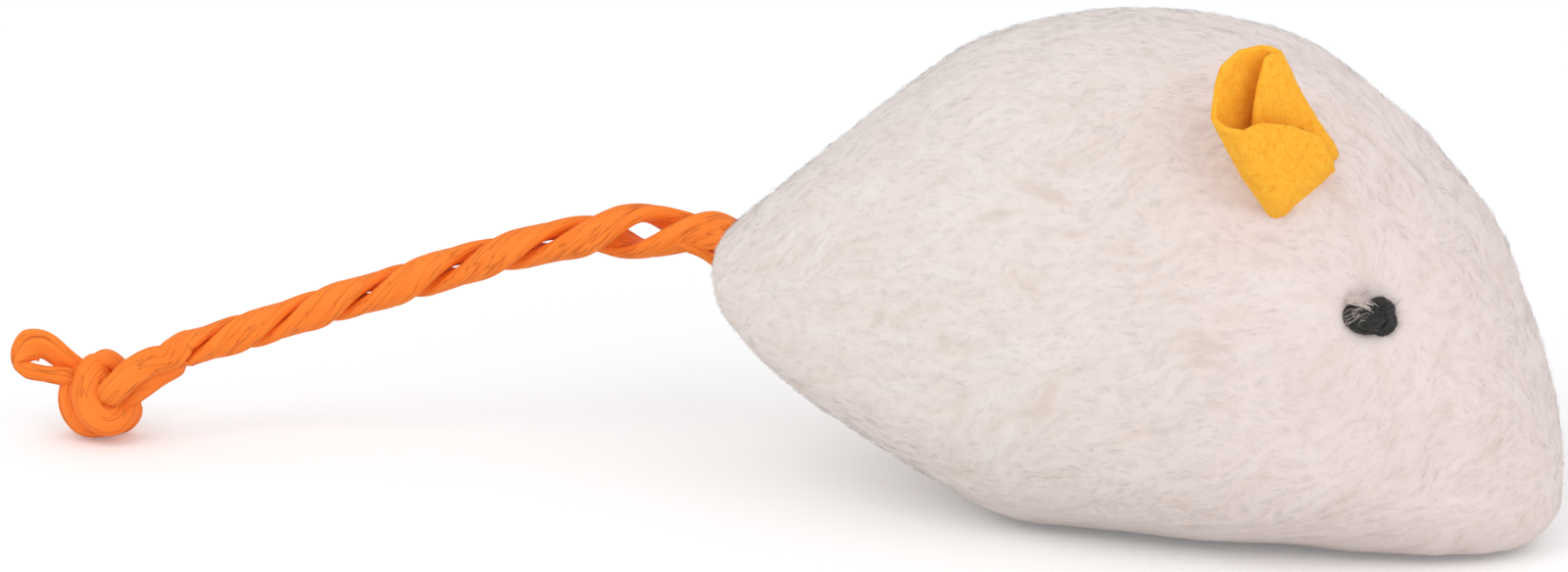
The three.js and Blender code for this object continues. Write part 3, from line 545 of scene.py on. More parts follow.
def keep(mesh, name, values):
    """Keeps a number or a vector for each vertex on a mesh."""
    kind, field = ("FLOAT", "value") if values.ndim == 1 else ("FLOAT_VECTOR", "vector")
    mesh.attributes.new(name, kind, "POINT").data.foreach_set(field, values.astype(np.float32).ravel())


def kept(mesh, name):
    """What a mesh keeps under a name, with a row for each vertex."""
    data = mesh.attributes[name].data
    if mesh.attributes[name].data_type == "FLOAT_VECTOR":
        values = np.empty((len(data), 3), np.float32)
        data.foreach_get("vector", values.ravel())
        return values
    values = np.empty(len(data), np.int32 if mesh.attributes[name].data_type == "INT" else np.float32)
    data.foreach_get("value", values)
    return values


def nearness(place, spot, reach):
    """1 at a spot, fading to 0 beyond its reach."""
    return math.exp(-((place - spot).length / reach) ** 2)


def faces_of(mesh, wanted):
    """A working copy of a mesh with only the faces that are wanted."""
    part = bmesh.new()
    part.from_mesh(mesh)
    bmesh.ops.delete(part, geom=[face for face in part.faces if not wanted(face)], context="FACES")
    return part


form = bmesh.new()
for panel in PANELS:
    for vertex in frame["nodes"][panel].data.vertices:
        form.verts.new(vertex.co)
hull = bmesh.ops.convex_hull(form, input=form.verts[:])
spare = {v for v in hull["geom_interior"] + hull["geom_unused"] if isinstance(v, bmesh.types.BMVert)}
bmesh.ops.delete(form, geom=list(spare), context="VERTS")
body_form = in_scene("body_form", mesh_from(form, "body_form"))
shaped(body_form, "REMESH", mode="VOXEL", voxel_size=CLOTH_GRAIN)
cloth_mesh = evaluated_copy(body_form, "plush_cloth")
bpy.data.objects.remove(body_form)

cloth = bmesh.new()
cloth.from_mesh(cloth_mesh)
for _ in range(4):
    bmesh.ops.smooth_vert(cloth, verts=cloth.verts, factor=0.5,
                          use_axis_x=True, use_axis_y=True, use_axis_z=True)
panel_surfaces = [surface_of(frame["nodes"][panel].data) for panel in PANELS]
eye_middles = [middle_of("eye_right"), middle_of("eye_left")]
ear_bases = [Vector(joints[name]["pos_m"]) for name in ("ear_right_flap", "ear_left_flap")]
seam_vertices = []
cloth.verts.index_update()
for vertex in cloth.verts:
    near = sorted((tree.find_nearest(vertex.co) for tree in panel_surfaces), key=lambda found: found[3])
    if near[1][3] - near[0][3] < SEAM_REACH:
        seam_vertices.append(vertex.index)
    elif min((vertex.co - spot).length for spot in (*ear_bases, swing_pivot)) > OPENING_REACH:
        vertex.co = near[0][0]
for face in cloth.faces:
    middle = face.calc_center_median()
    face.material_index = int(np.argmin([tree.find_nearest(middle)[3] for tree in panel_surfaces]))
    face.smooth = True
cloth.normal_update()
moves = [-PILE_DEPTH * vertex.normal for vertex in cloth.verts]
for vertex, move in zip(cloth.verts, moves):
    vertex.co += move
cloth.to_mesh(cloth_mesh)
cloth.free()


def stuffed(mesh):
    """The cloth's places once the filling presses on it, held at the seams, worked out at a larger size."""
    rest = places_of(mesh)
    large = mesh.copy()
    large.vertices.foreach_set("co", (rest * CLOTH_TIMES).ravel())
    obj = in_scene("stuffed_cloth", large)
    obj.vertex_groups.new(name="seams").add(seam_vertices, 1.0, "REPLACE")
    press = obj.modifiers.new("filling", "CLOTH")
    for key, value in CLOTH.items():
        setattr(press.settings, key, value)
    press.settings.effector_weights.gravity = 0
    press.collision_settings.use_collision = False
    for number in range(1, CLOTH_FRAMES + 1):
        scene.frame_set(number)
    shown = obj.evaluated_get(bpy.context.evaluated_depsgraph_get())
    step = places_of(shown.data) / CLOTH_TIMES - rest
    scene.frame_set(1)
    bpy.data.objects.remove(obj)
    length = np.linalg.norm(step, axis=1, keepdims=True)
    return rest + step * np.minimum(1, SWELL_LIMIT / np.maximum(length, 1e-9))


cloth_mesh.vertices.foreach_set("co", stuffed(cloth_mesh).ravel())

body_cloth = in_scene("body_cloth", cloth_mesh)
shaped(body_cloth, "SUBSURF", levels=2, render_levels=2)
fine_mesh = evaluated_copy(body_cloth, "plush_fine")
bpy.data.objects.remove(body_cloth)

lifts = np.empty(len(fine_mesh.vertices))
for vertex in fine_mesh.vertices:
    near = sorted(tree.find_nearest(vertex.co)[3] for tree in panel_surfaces)
    lift = LUMP_HEIGHT * noise.noise(vertex.co / LUMP_SIZE + LUMP_START)
    lift -= SEAM_DEPTH * math.exp(-((near[1] - near[0]) / SEAM_REACH) ** 2)
    for eye_middle in eye_middles:
        lift -= EYE_PULL * nearness(vertex.co, eye_middle, EYE_PULL_REACH)
    for ear_base in ear_bases:
        lift += EAR_MOUND * nearness(vertex.co, ear_base, EAR_MOUND_REACH)
    for spot, height, reach in FORM_LUMPS:
        lift += height * MM * nearness(vertex.co / MM, Vector(spot), reach)
    lifts[vertex.index] = lift
body_places = places_of(fine_mesh) + normals_of(fine_mesh) * lifts[:, None]
body_places[:, 2] = np.maximum(body_places[:, 2], CLOTH_LOWEST)
fine_mesh.vertices.foreach_set("co", body_places.ravel())
fine_mesh.update()


def pile_lay(mesh):
    """The way that the pile lies at each vertex: combed back and down, swirled, and parted round the eyes."""
    noise.seed_set(SWIRL_SEED)      # without it noise_vector differs from run to run
    lay = np.empty((len(mesh.vertices), 3))
    for vertex in mesh.vertices:
        way = COMB + noise.noise_vector(vertex.co / SWIRL_SIZE) * COMB_SWIRL
        for eye_middle in eye_middles:
            apart = (vertex.co - eye_middle).normalized() * 1.2
            way = way.lerp(apart, nearness(vertex.co, eye_middle, EYE_PARTING))
        way -= vertex.normal * way.dot(vertex.normal)
        lay[vertex.index] = way.normalized()
    return lay


def drawn_tufts(places, lay, width, run, seed):
    """Heights, about a mean of 0, of locks of pile: chance heights that are drawn out along its lay."""
    chance = np.random.default_rng(seed).random((TUFT_CELLS, TUFT_CELLS, TUFT_CELLS))
    total = np.zeros(len(places))
    for share in np.linspace(-1, 1, 11):
        spot = (places + lay * run * share) / width
        cell = np.floor(spot).astype(int)
        part = spot - cell
        part = part * part * (3 - 2 * part)
        for corner in np.ndindex(2, 2, 2):
            weight = np.prod(np.where(corner, part, 1 - part), axis=1)
            total += weight * chance[tuple(((cell + corner) % TUFT_CELLS).T)]
    return (total - total.mean()) / total.std()


body_lay = pile_lay(fine_mesh)
tufts = 0.65 * drawn_tufts(body_places, body_lay, TUFT_WIDTH, TUFT_RUN, TUFT_SEED)
tufts += 0.5 * drawn_tufts(body_places, body_lay, 2.4 * TUFT_WIDTH, 1.5 * TUFT_RUN, TUFT_SEED + 1)
body_places += normals_of(fine_mesh) * (TUFT_HEIGHT * tufts)[:, None]
body_places[:, 2] = np.maximum(body_places[:, 2], TUFTS_LOWEST)
fine_mesh.vertices.foreach_set("co", body_places.ravel())
# the lock height is kept for the plush colour, which paints shade between the locks from it
keep(fine_mesh, "tuft", 0.5 + 0.2 * tufts)
keep(fine_mesh, "lay", body_lay)
fine_mesh.update()
keep(fine_mesh, "whole_normal", normals_of(fine_mesh))


def own_place(tree):
    """A place in the object's own frame."""
    return wired(tree, "ShaderNodeTexCoord").outputs["Object"]


def yarn_colour(tree, shader, place, tint):
    """Gives a shader the yarn's colour as it changes along the body: palest behind, rosiest at the nose."""
    where = wired(tree, "ShaderNodeSeparateXYZ", (("Vector", place),))
    along = wired(tree, "ShaderNodeMapRange", (
        ("Value", where.outputs["X"]), ("From Min", -30 * MM), ("From Max", 28 * MM)))
    tone = colour_steps(tree, along.outputs["Result"], (
        (0.05, (1, 1, 1)), (0.45, (0.967, 0.967, 0.97)), (0.85, (0.955, 0.913, 0.928))))
    toned = wired(tree, "ShaderNodeMix", (("Factor", 1), (6, tint), (7, tone)),
                  data_type="RGBA", blend_type="MULTIPLY")
    tree.links.new(toned.outputs[2], shader.inputs["Base Color"])


def plush_material():
    """Pale pinkish pile, warm, painted a little darker than the fibres over it and darker still between the
    locks as painted shade, with a soft sheen and fine fuzz.
    """
    material, tree, shader = new_material("white_plush", {
        "Roughness": 0.9, "Sheen Weight": 0.2, "Sheen Roughness": 0.6, "Specular IOR Level": 0.15})
    place = own_place(tree)
    # painted shade: the lower the lock height, the darker the colour, so the hollows between locks are painted
    # darker
    lock = wired(tree, "ShaderNodeAttribute", attribute_name="tuft").outputs["Fac"]
    level = maths(tree, "MULTIPLY_ADD", noise_on(tree, place, 260, 5), 0.35, lock)
    yarn_colour(tree, shader, place, colour_steps(tree, level, (
        (0.15, (0.74, 0.63, 0.56)), (0.5, (0.805, 0.71, 0.66)),
        (0.8, (0.82, 0.73, 0.685)), (1.0, (0.83, 0.75, 0.71)))))
    bumped(tree, shader, noise_on(tree, place, 5200, 3), 0.06 * MM, 0.35)
    return material


white_plush = plush_material()
panel_skins = {}
for number, (panel, name) in enumerate(PANELS.items()):
    part = faces_of(fine_mesh, lambda face: face.material_index == number)
    for face in part.faces:
        face.material_index = 0
    shell = piece(name, part, white_plush)
    panel_skins[panel] = shell.data
    shaped(shell, "SOLIDIFY", thickness=BACKING_THICKNESS, offset=-1)
    solid_mesh = settled(shell)
    outer = np.arange(len(solid_mesh.vertices)) < len(panel_skins[panel].vertices)
    whole = kept(solid_mesh, "whole_normal")
    solid_mesh.attributes.remove(solid_mesh.attributes["whole_normal"])
    solid_mesh.normals_split_custom_set_from_vertices(np.where(outer[:, None], whole, -whole))
    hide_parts(panel)
    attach(shell, "body")


# The pile
# Fine fibres stand out of the backing in small wavy locks, combed towards the tail and down the sides.
# They part round the eyes, lie short round the ears and are pressed short under the belly.
PILE_THICKNESS = 0.035 * MM
PILE_SETTINGS = {
    "Fibres per square metre": 5.0 / MM ** 2, "Length": 0.85 * MM, "Stand": 0.55, "Lock size": 0.95 * MM,
    "Lock pull": 0.35, "Wave": 0.55 * MM, "Wave size": 0.9 * MM, "Seed": 7,
}
WAVE_DRIFT = 0.6 * MM
PILE_SOFTNESS = 0.85
PILE_LOWEST = 0.15 * MM
PILE_CLEARINGS = (  # places, how much shorter the pile is at them, and their reach
    (eye_middles, 0.45, 0.45 * EYE_PARTING), (ear_bases, 0.15, 3.4 * MM), ([swing_pivot], 0.3, 2.2 * MM),
)
BELLY_CLEARING = 4 * MM
BELLY_SHARE = 0.18
PILE_INPUTS = {
    "Geometry": "Geometry", "Fibres per square metre": "Float", "Fibre": "Object", "Length": "Float",
    "Stand": "Float", "Lock size": "Float", "Lock pull": "Float", "Wave": "Float", "Wave size": "Float",
    "Seed": "Int", "Material": "Material",
}


def pile_tree():
    """Fibres set on a surface, leaning along its lay, gathered into locks and waved."""
    tree = bpy.data.node_groups.new("pile", "GeometryNodeTree")
    inputs = {
        name: tree.interface.new_socket(name=name, in_out="INPUT", socket_type="NodeSocket" + kind).identifier
        for name, kind in PILE_INPUTS.items()}
    tree.interface.new_socket(name="Geometry", in_out="OUTPUT", socket_type="NodeSocketGeometry")
    given = tree.nodes.new("NodeGroupInput").outputs
    result = tree.nodes.new("NodeGroupOutput")

    def vectors(operation, a, b):
        node = wired(tree, "ShaderNodeVectorMath", ((0, a), (1, b)), operation=operation)
        return node.outputs["Value"] if operation == "DOT_PRODUCT" else node.outputs["Vector"]

    def scaled(vector, factor):
        wires = ((0, vector), ("Scale", factor))
        return wired(tree, "ShaderNodeVectorMath", wires, operation="SCALE").outputs["Vector"]

    def held(name, kind="FLOAT_VECTOR"):
        node = wired(tree, "GeometryNodeInputNamedAttribute", (("Name", name),), data_type=kind)
        return node.outputs["Attribute"]

    def stored(geometry, name, kind, value):
        wires = (("Geometry", geometry), ("Name", name), ("Value", value))
        node = wired(tree, "GeometryNodeStoreNamedAttribute", wires, data_type=kind, domain="POINT")
        return node.outputs["Geometry"]

    scatter = wired(tree, "GeometryNodeDistributePointsOnFaces", (
        ("Mesh", given["Geometry"]), ("Density", given["Fibres per square metre"]), ("Seed", given["Seed"])))
    place = wired(tree, "GeometryNodeInputPosition").outputs["Position"]
    points = stored(scatter.outputs["Points"], "root", "FLOAT_VECTOR", place)
    points = stored(points, "outward", "FLOAT_VECTOR", scatter.outputs["Normal"])
    points = stored(points, "strand", "INT", wired(tree, "GeometryNodeInputIndex").outputs["Index"])
    fibre = wired(tree, "GeometryNodeObjectInfo", (("Object", given["Fibre"]),))

    lay = held("lay")
    lean = vectors("ADD", scaled(held("outward"), given["Stand"]), lay)
    turn = wired(tree, "FunctionNodeAxesToRotation", (("Primary Axis", lean), ("Secondary Axis", lay)),
                 primary_axis="Z", secondary_axis="X")
    chance = wired(tree, "FunctionNodeRandomValue", ((2, 0.7), (3, 1.15), ("Seed", 3)), data_type="FLOAT")
    size = maths(tree, "MULTIPLY", given["Length"], held("pile_scale", "FLOAT"))
    size = maths(tree, "MULTIPLY", size, chance.outputs[1])
    planted = wired(tree, "GeometryNodeInstanceOnPoints", (
        ("Points", points), ("Instance", fibre.outputs["Geometry"]), ("Rotation", turn.outputs["Rotation"]),
        ("Scale", size)))
    real = wired(tree, "GeometryNodeRealizeInstances", (("Geometry", planted.outputs["Instances"]),))

    root, outward, along = held("root"), held("outward"), held("along", "FLOAT")
    cell = wired(tree, "ShaderNodeTexVoronoi", voronoi_dimensions="3D", wires=(
        ("Vector", root), ("Scale", maths(tree, "DIVIDE", 1.0, given["Lock size"]))))
    inward = vectors("SUBTRACT", cell.outputs["Position"], root)
    level = vectors("SUBTRACT", inward, scaled(outward, vectors("DOT_PRODUCT", inward, outward)))
    gather = scaled(level, maths(tree, "MULTIPLY", maths(tree, "POWER", along, 1.5), given["Lock pull"]))
    ripple = wired(tree, "ShaderNodeTexNoise", noise_dimensions="3D", wires=(
        ("Vector", vectors("ADD", root, scaled(outward, maths(tree, "MULTIPLY", along, WAVE_DRIFT)))),
        ("Scale", maths(tree, "DIVIDE", 1.0, given["Wave size"])), ("Detail", 2.0)))
    wave = maths(tree, "MULTIPLY", along, maths(tree, "MULTIPLY", given["Wave"], 2.0))
    sway = scaled(vectors("SUBTRACT", ripple.outputs["Color"], (0.5, 0.5, 0.5)), wave)
    waved = wired(tree, "GeometryNodeSetPosition", (
        ("Geometry", real.outputs["Geometry"]), ("Offset", vectors("ADD", gather, sway))))
    coloured = wired(tree, "GeometryNodeSetMaterial", (
        ("Geometry", waved.outputs["Geometry"]), ("Material", given["Material"])))
    tree.links.new(coloured.outputs["Geometry"], result.inputs["Geometry"])
    return tree, inputs


def pile_lengths(mesh):
    """Each vertex's share of the full pile: short at the eyes, the ears and the tail, shortest underneath."""
    shares = np.empty(len(mesh.vertices))
    for vertex in mesh.vertices:
        share = 1.0
        for spots, shorter, reach in PILE_CLEARINGS:
            for spot in spots:
                share *= 1 - shorter * nearness(vertex.co, spot, reach)
        shares[vertex.index] = share * min(max(vertex.co.z / BELLY_CLEARING, BELLY_SHARE), 1)
    return shares


def pile_material():
    """Single fibres of the same yarn, painted paler than the backing as painted light on them, with a soft
    sheen.
    """
    material, tree, shader = new_material("pale_pile", {
        "Roughness": 0.85, "Sheen Weight": 0.25, "Specular IOR Level": 0.15})
    place = own_place(tree)
    # painted light: these stops are paler than the backing's, so the fibres read as lit strokes
    yarn_colour(tree, shader, place, colour_steps(tree, noise_on(tree, place, 420, 4), (
        (0.3, (0.81, 0.715, 0.66)), (0.7, (0.88, 0.8, 0.76)))))
    return material


def one_fibre(thickness):
    """A bent fibre of unit length with its broad face outwards, thinning to its end."""
    shape = bmesh.new()
    share_layer = shape.verts.layers.float.new("along")
    rings = []
    for share in (0, 0.35, 0.7, 1):
        middle = Vector((0.5 * share ** 2, 0, 1.1 * share - 0.3 * share ** 2))
        way = Vector((share, 0, 1.1 - 0.6 * share)).normalized()
        half = thickness / 2 * (1 - 0.75 * share)
        ring = [shape.verts.new(middle + offset * half) for offset in (
            Vector((0, 1, 0)), Vector((0, -1, 0)), Vector((way.z, 0, -way.x)) * 0.6)]
        for vertex in ring:
            vertex[share_layer] = share
        rings.append(ring)
    for ring, after in zip(rings, rings[1:]):
        for j in range(3):
            k = (j + 1) % 3
            shape.faces.new((ring[j], ring[k], after[k], after[j]))
    shape.faces.new(rings[0][::-1])
    shape.faces.new(rings[-1])
    bmesh.ops.recalc_face_normals(shape, faces=shape.faces)
    return bpy.data.objects.new("fibre", mesh_from(shape, "fibre"))


def grown(name, ground, material, thickness, settings):
    """The fibres that grow on a mesh, as an object of their own with a place in the baked picture for each."""
    fibre = one_fibre(thickness / settings["Length"])
    shown = in_scene(name, ground)
    growth = shown.modifiers.new("pile", "NODES")
    growth.node_group = pile
    for key, value in (*settings.items(), ("Fibre", fibre), ("Material", material)):
        growth[pile_inputs[key]] = value
    fibres = settled(shown)
    bpy.data.objects.remove(fibre)
    places = places_of(fibres)
    places[:, 2] = np.maximum(places[:, 2], PILE_LOWEST)
    fibres.vertices.foreach_set("co", places.ravel())
    fibres.polygons.foreach_set("use_smooth", [True] * len(fibres.polygons))

    strand, along = kept(fibres, "strand"), kept(fibres, "along")
    mixed = normals_of(fibres) * (1 - PILE_SOFTNESS) + kept(fibres, "outward") * PILE_SOFTNESS
    mixed /= np.maximum(np.linalg.norm(mixed, axis=1, keepdims=True), 1e-6)
    corners = np.empty(len(fibres.loops), np.int32)
    fibres.loops.foreach_get("vertex_index", corners)
    rows = math.ceil(math.sqrt(strand.max() + 1))
    across = 0.2 + 0.3 * (np.arange(len(places)) % 3)
    spot = np.stack([strand % rows + 0.15 + 0.7 * along, strand // rows + across], 1) / rows
    fibres.uv_layers.new(name="OFBake").data.foreach_set("uv", spot[corners].astype(np.float32).ravel())
    for extra in ("root", "outward", "strand", "along", "lay", "pile_scale", "whole_normal"):
        if extra in fibres.attributes:
            fibres.attributes.remove(fibres.attributes[extra])
    fibres.normals_split_custom_set_from_vertices(mixed)
    return shown


pale_pile = pile_material()
pile, pile_inputs = pile_tree()
for panel, name in PANELS.items():
    for half, ahead in (("_front", True), ("_rear", False)):
        ground = mesh_from(faces_of(
            panel_skins[panel], lambda face: (face.calc_center_median().x > 0) == ahead), "pile_ground")
        keep(ground, "pile_scale", pile_lengths(ground))
        fur = grown(name.replace("plush", "pile") + half, ground, pale_pile, PILE_THICKNESS, PILE_SETTINGS)
        fur.visible_shadow = False      # such fine yarn lets the light through
        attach(fur, "body")


# The ears
# Each ear is one blank of orange felt, rolled so that its left edge laps over its right, gathered at
# the base and sewn into the side panel. The roll opens at the top and shows the hollow behind the lap.
EAR_UPS = {"right": (-0.2, -0.472, 0.858), "left": (-0.4549, 0.7849, -0.4208)}
EAR_SEAT = (-0.09, -0.87, -0.25)
EAR_HEIGHT = 11.5 * MM
EAR_LEFT, EAR_RIGHT = -3.35 * MM, 2.85 * MM
EAR_BURIED = 1.5 * MM
EAR_BEND = 2.2 * MM
EAR_SLANT = 1.5 * MM
EAR_CUP = 0.8 * MM
BEND_HEIGHT, SLANT_HEIGHT = 4 * MM, 9 * MM
GATHERED_SHARE = 0.45
HINGE_FRONT = 0.4 * MM
LEAF_FRONT, UNDER_FRONT, LAP_FRONT = 0.1 * MM, 1.0 * MM, 1.85 * MM
LEFT_FOLD, RIGHT_FOLD = -2.6, 2.2
EAR_PARTS = (       # part, first and last place, columns, and the felt's top at places of it
    ("lap", 1.75, LEFT_FOLD, 30, ((1.75, 4.2), (1.2, 5.3), (0.6, 6.3), (-1.25, 8.1), (-2.6, 8.5))),
    ("left", 0, 1, 22, ((0, 8.6), (0.5, 9.0), (1, 9.45))),
    ("leaf", LEFT_FOLD, RIGHT_FOLD, 34, ((-2.6, 9.55), (-1.5, 10.5), (-0.4, 11.25), (1.2, 11.3), (2.2, 10.8))),
    ("right", 0, 1, 16, ((0, 10.8), (0.5, 10.25), (1, 10.5))),
    ("under", 2.3, -1.9, 28, ((2.3, 10.8), (1.6, 10.95), (1.2, 10.6), (0.07, 9.4), (-0.92, 8.1), (-1.9, 6.4))),
)
FELT_ROWS = 40
FELT_THICKNESS = 0.5 * MM
FELT_ROUGHNESS = ((0.8 * MM, 0.03 * MM), (2.6 * MM, 0.07 * MM))
FELT_FUZZ_THICKNESS = 0.018 * MM
FELT_FUZZ = {
    "Fibres per square metre": 7.0 / MM ** 2, "Length": 0.5 * MM, "Stand": 0.35, "Lock size": 1 * MM,
    "Lock pull": 0.0, "Wave": 0.35 * MM, "Wave size": 0.3 * MM, "Seed": 31,
}


def speckled(name, values, scale, detail, stops, bump_distance, bump_strength=1.0, **shape):
    """A material whose colour and relief both follow one noise over the object: with a darker first stop, its
    low places are painted darker, as painted shade.
    """
    material, tree, shader = new_material(name, values)
    relief_grain_and_shade = noise_on(tree, own_place(tree), scale, detail, **shape)
    # painted shade and light: low places of the relief take the first stop, high places the last
    tree.links.new(colour_steps(tree, relief_grain_and_shade, stops), shader.inputs["Base Color"])
    bumped(tree, shader, relief_grain_and_shade, bump_distance, bump_strength)
    return material


def fuzz_on(name, mesh, normals, material, thickness, settings):
    """Short fibres that lie every way on a mesh."""
    ground = mesh.copy()
    drift = np.random.default_rng(settings["Seed"]).normal(size=normals.shape)
    drift -= normals * np.sum(drift * normals, axis=1, keepdims=True)
    drift /= np.maximum(np.linalg.norm(drift, axis=1, keepdims=True), 1e-6)
    keep(ground, "lay", drift)
    keep(ground, "pile_scale", np.ones(len(normals)))
    return grown(name, ground, material, thickness, settings)


def ear_columns():
    """The felt's columns from the lap's free edge round to the under edge: part, place in it, and top."""
    columns = []
    for part, first, last, count, tops in EAR_PARTS:
        places = np.linspace(first, last, count)
        if part in ("left", "right"):       # a fold shares its ends with the parts beside it
            places = places[1:-1]
        columns += [(part, at, float(np.interp(at, *zip(*sorted(tops)))) * MM) for at in places]
    return columns


def felt_place(part, at, height):
    """Where a column of the felt is at a height: across the ear and in front of its hinge."""
    share = max(height, 0) / EAR_HEIGHT
    rise = (height + EAR_BURIED) / BEND_HEIGHT
    gather = GATHERED_SHARE + (1 - GATHERED_SHARE) * min(max(rise, 0), 1)
    leaf = LEAF_FRONT - EAR_CUP * share ** 2
    under = UNDER_FRONT + 0.1 * MM * share
    lap = LAP_FRONT + 0.25 * MM * math.sin(math.pi * min(share / 0.85, 1)) + 0.2 * MM * share ** 2
    left = EAR_LEFT + 0.35 * MM * share ** 3
    if part == "lap":
        lean = min(max((-2.0 - at) / 0.6, 0), 1)
        across, front = at * MM, lap + 0.15 * MM * math.cos(at * 0.8) * (1 - lean)
    elif part == "left":
        across = LEFT_FOLD * MM - (LEFT_FOLD * MM - left) * math.sin(math.pi * at)
        front = (lap + leaf) / 2 + (lap - leaf) / 2 * math.cos(math.pi * at)
    elif part == "leaf":
        across, front = at * MM, leaf - 0.25 * MM * (1 - ((at + 0.2) / 2.4) ** 2)
    elif part == "right":
        across = (RIGHT_FOLD + 0.1 * at) * MM + (EAR_RIGHT - 2.25 * MM) * math.sin(math.pi * at)
        front = (leaf + under) / 2 - (under - leaf) / 2 * math.cos(math.pi * at)
    else:
        across, front = at * MM, under
    bend = EAR_BEND * max(1 - rise, 0) ** 2
    slant = EAR_SLANT * max(1 - (height + EAR_BURIED) / SLANT_HEIGHT, 0) ** 2
    return across + slant, HINGE_FRONT + (front - HINGE_FRONT) * gather - bend


# Matted fibres of a few oranges, with painted light and shade: paler where they stand up and darker in the pits
orange_felt = speckled("orange_felt", {
    "Roughness": 0.95, "Sheen Weight": 0.5, "Sheen Roughness": 0.5, "Sheen Tint": (1, 0.6, 0.1, 1),
    "Specular IOR Level": 0.1,
}, 2400, 7, (
    (0.32, (0.93, 0.33, 0.015)), (0.45, (1.0, 0.45, 0.034)),
    (0.56, (1.0, 0.485, 0.042)), (0.7, (1.0, 0.56, 0.075)),
), 0.08 * MM, 0.32, Roughness=0.7, Distortion=1.0)


def felt_ear(side, turned_over):
    """An ear of rolled felt with its fuzz, standing on its hinge where the solid one does."""
    joint = joints["ear_" + side + "_flap"]
    base = Vector(joint["pos_m"])
    across = Vector(joint["axis"]).normalized() * (-1 if turned_over else 1)
    up = Vector(EAR_UPS[side])
    up = (up - across * up.dot(across)).normalized()
    ahead = across.cross(up) * (-1 if turned_over else 1)
    base += (across * EAR_SEAT[0] + ahead * EAR_SEAT[1] + up * EAR_SEAT[2]) * MM
    felt = bmesh.new()
    grid = []
    for part, at, top in ear_columns():
        column = []
        for row in range(FELT_ROWS + 1):
            height = -EAR_BURIED + (top + EAR_BURIED) * row / FELT_ROWS
            a, f = felt_place(part, at, height)
            column.append(felt.verts.new(base + across * a + ahead * f + up * height))
        grid.append(column)
    for one, other in zip(grid, grid[1:]):
        for a, b, c, d in zip(one, one[1:], other[1:], other):
            felt.faces.new((a, b, c, d) if turned_over else (d, c, b, a)).smooth = True
    ear = piece("felt_ear_" + side, felt, orange_felt)
    shaped(ear, "SOLIDIFY", thickness=FELT_THICKNESS, offset=0)
    shaped(ear, "SUBSURF", levels=1, render_levels=1)
    solid_mesh = settled(ear)
    places, normals = places_of(solid_mesh), normals_of(solid_mesh)
    rough = [sum(noise.noise(Vector(p) / size) * depth for size, depth in FELT_ROUGHNESS) for p in places]
    solid_mesh.vertices.foreach_set("co", (places + normals * np.array(rough)[:, None]).ravel())
    solid_mesh.update()
    fuzz = fuzz_on("felt_fuzz_" + side, solid_mesh, normals, orange_felt, FELT_FUZZ_THICKNESS, FELT_FUZZ)
    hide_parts("ear_" + side)
    for part in (ear, fuzz):
        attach(part, "ear_" + side)


felt_ear("right", turned_over=False)
felt_ear("left", turned_over=True)


# The eyes
# Black thread is sewn through the head from eye to eye and drawn tight. Its stitches heap up in two round
# knots in front and one longer mass behind, with fine ends of thread and a few white fibres over them.
EYE_AHEAD = 0.4 * MM
EYE_RAISED = 0.25 * MM
THREAD_WIDTH = 0.34 * MM
EYE_HEAPS = (       # middle, half sizes, the way that its strands run, and how many there are
    ((-0.45, -0.35, 0.3), (1.3, 0.86, 0.8), (1, 0.15), 18),
    ((0.5, 0.45, 0.45), (0.86, 0.84, 0.8), (0.7, 0.7), 13),
    ((0.95, -0.15, 0.35), (0.8, 0.8, 0.75), (0.3, 0.9), 13),
)
EYE_SEED = 41
EYE_FUZZ_THICKNESS = 0.016 * MM
EYE_FUZZ = {
    "Fibres per square metre": 3.0 / MM ** 2, "Length": 0.6 * MM, "Stand": 0.5, "Lock size": 1 * MM,
    "Lock pull": 0.0, "Wave": 0.4 * MM, "Wave size": 0.35 * MM, "Seed": EYE_SEED,
}
WHITE_FIBRES_OVER = 26
WHITE_FIBRE, WHITE_FIBRE_UNDER = 0.06 * MM, 0.028 * MM
DARK_ENDS = 14
DARK_END = 0.03 * MM


def thread_material(name, dark, light):
    """Spun thread: two plies round each other, with a soft lustre, and painted light and shade: paler on its
    raised fibre ends, darker where its relief sinks.
    """
    values = {"Roughness": 0.7, "Sheen Weight": 0.15, "Specular IOR Level": 0.3}
    return speckled(name, values, 2600, 5, ((0.35, dark), (0.75, light)), 0.05 * MM, 0.5)


def round_rim(line, radius):
    """A round rim on a line, from its radius at a point, a turn and a share of the length."""
    def rim(i, turn, share):
        way = way_at(line, i)
        side = way.orthogonal().normalized()
        return (side * math.cos(turn) + way.cross(side) * math.sin(turn)) * radius(i, turn, share)
    return rim


def spun_thread(bm, points, width, start):
    """Spun thread through points, whose two plies show as a twist."""
    line, _ = smooth_line(points, 34)
    ribbon_tube(bm, line, 10, round_rim(line, lambda i, turn, share: (
        width / 2 * (0.86 + 0.16 * abs(math.cos(turn + 0.55 * i + start))))))


def loose_fibre(bm, points, steps, width):
    """One loose fibre through points, which thins out to its end."""
    line, _ = smooth_line(points, steps)
    ribbon_tube(bm, line, 4, round_rim(line, lambda i, turn, share: width / 2 * (1 - 0.7 * share)))


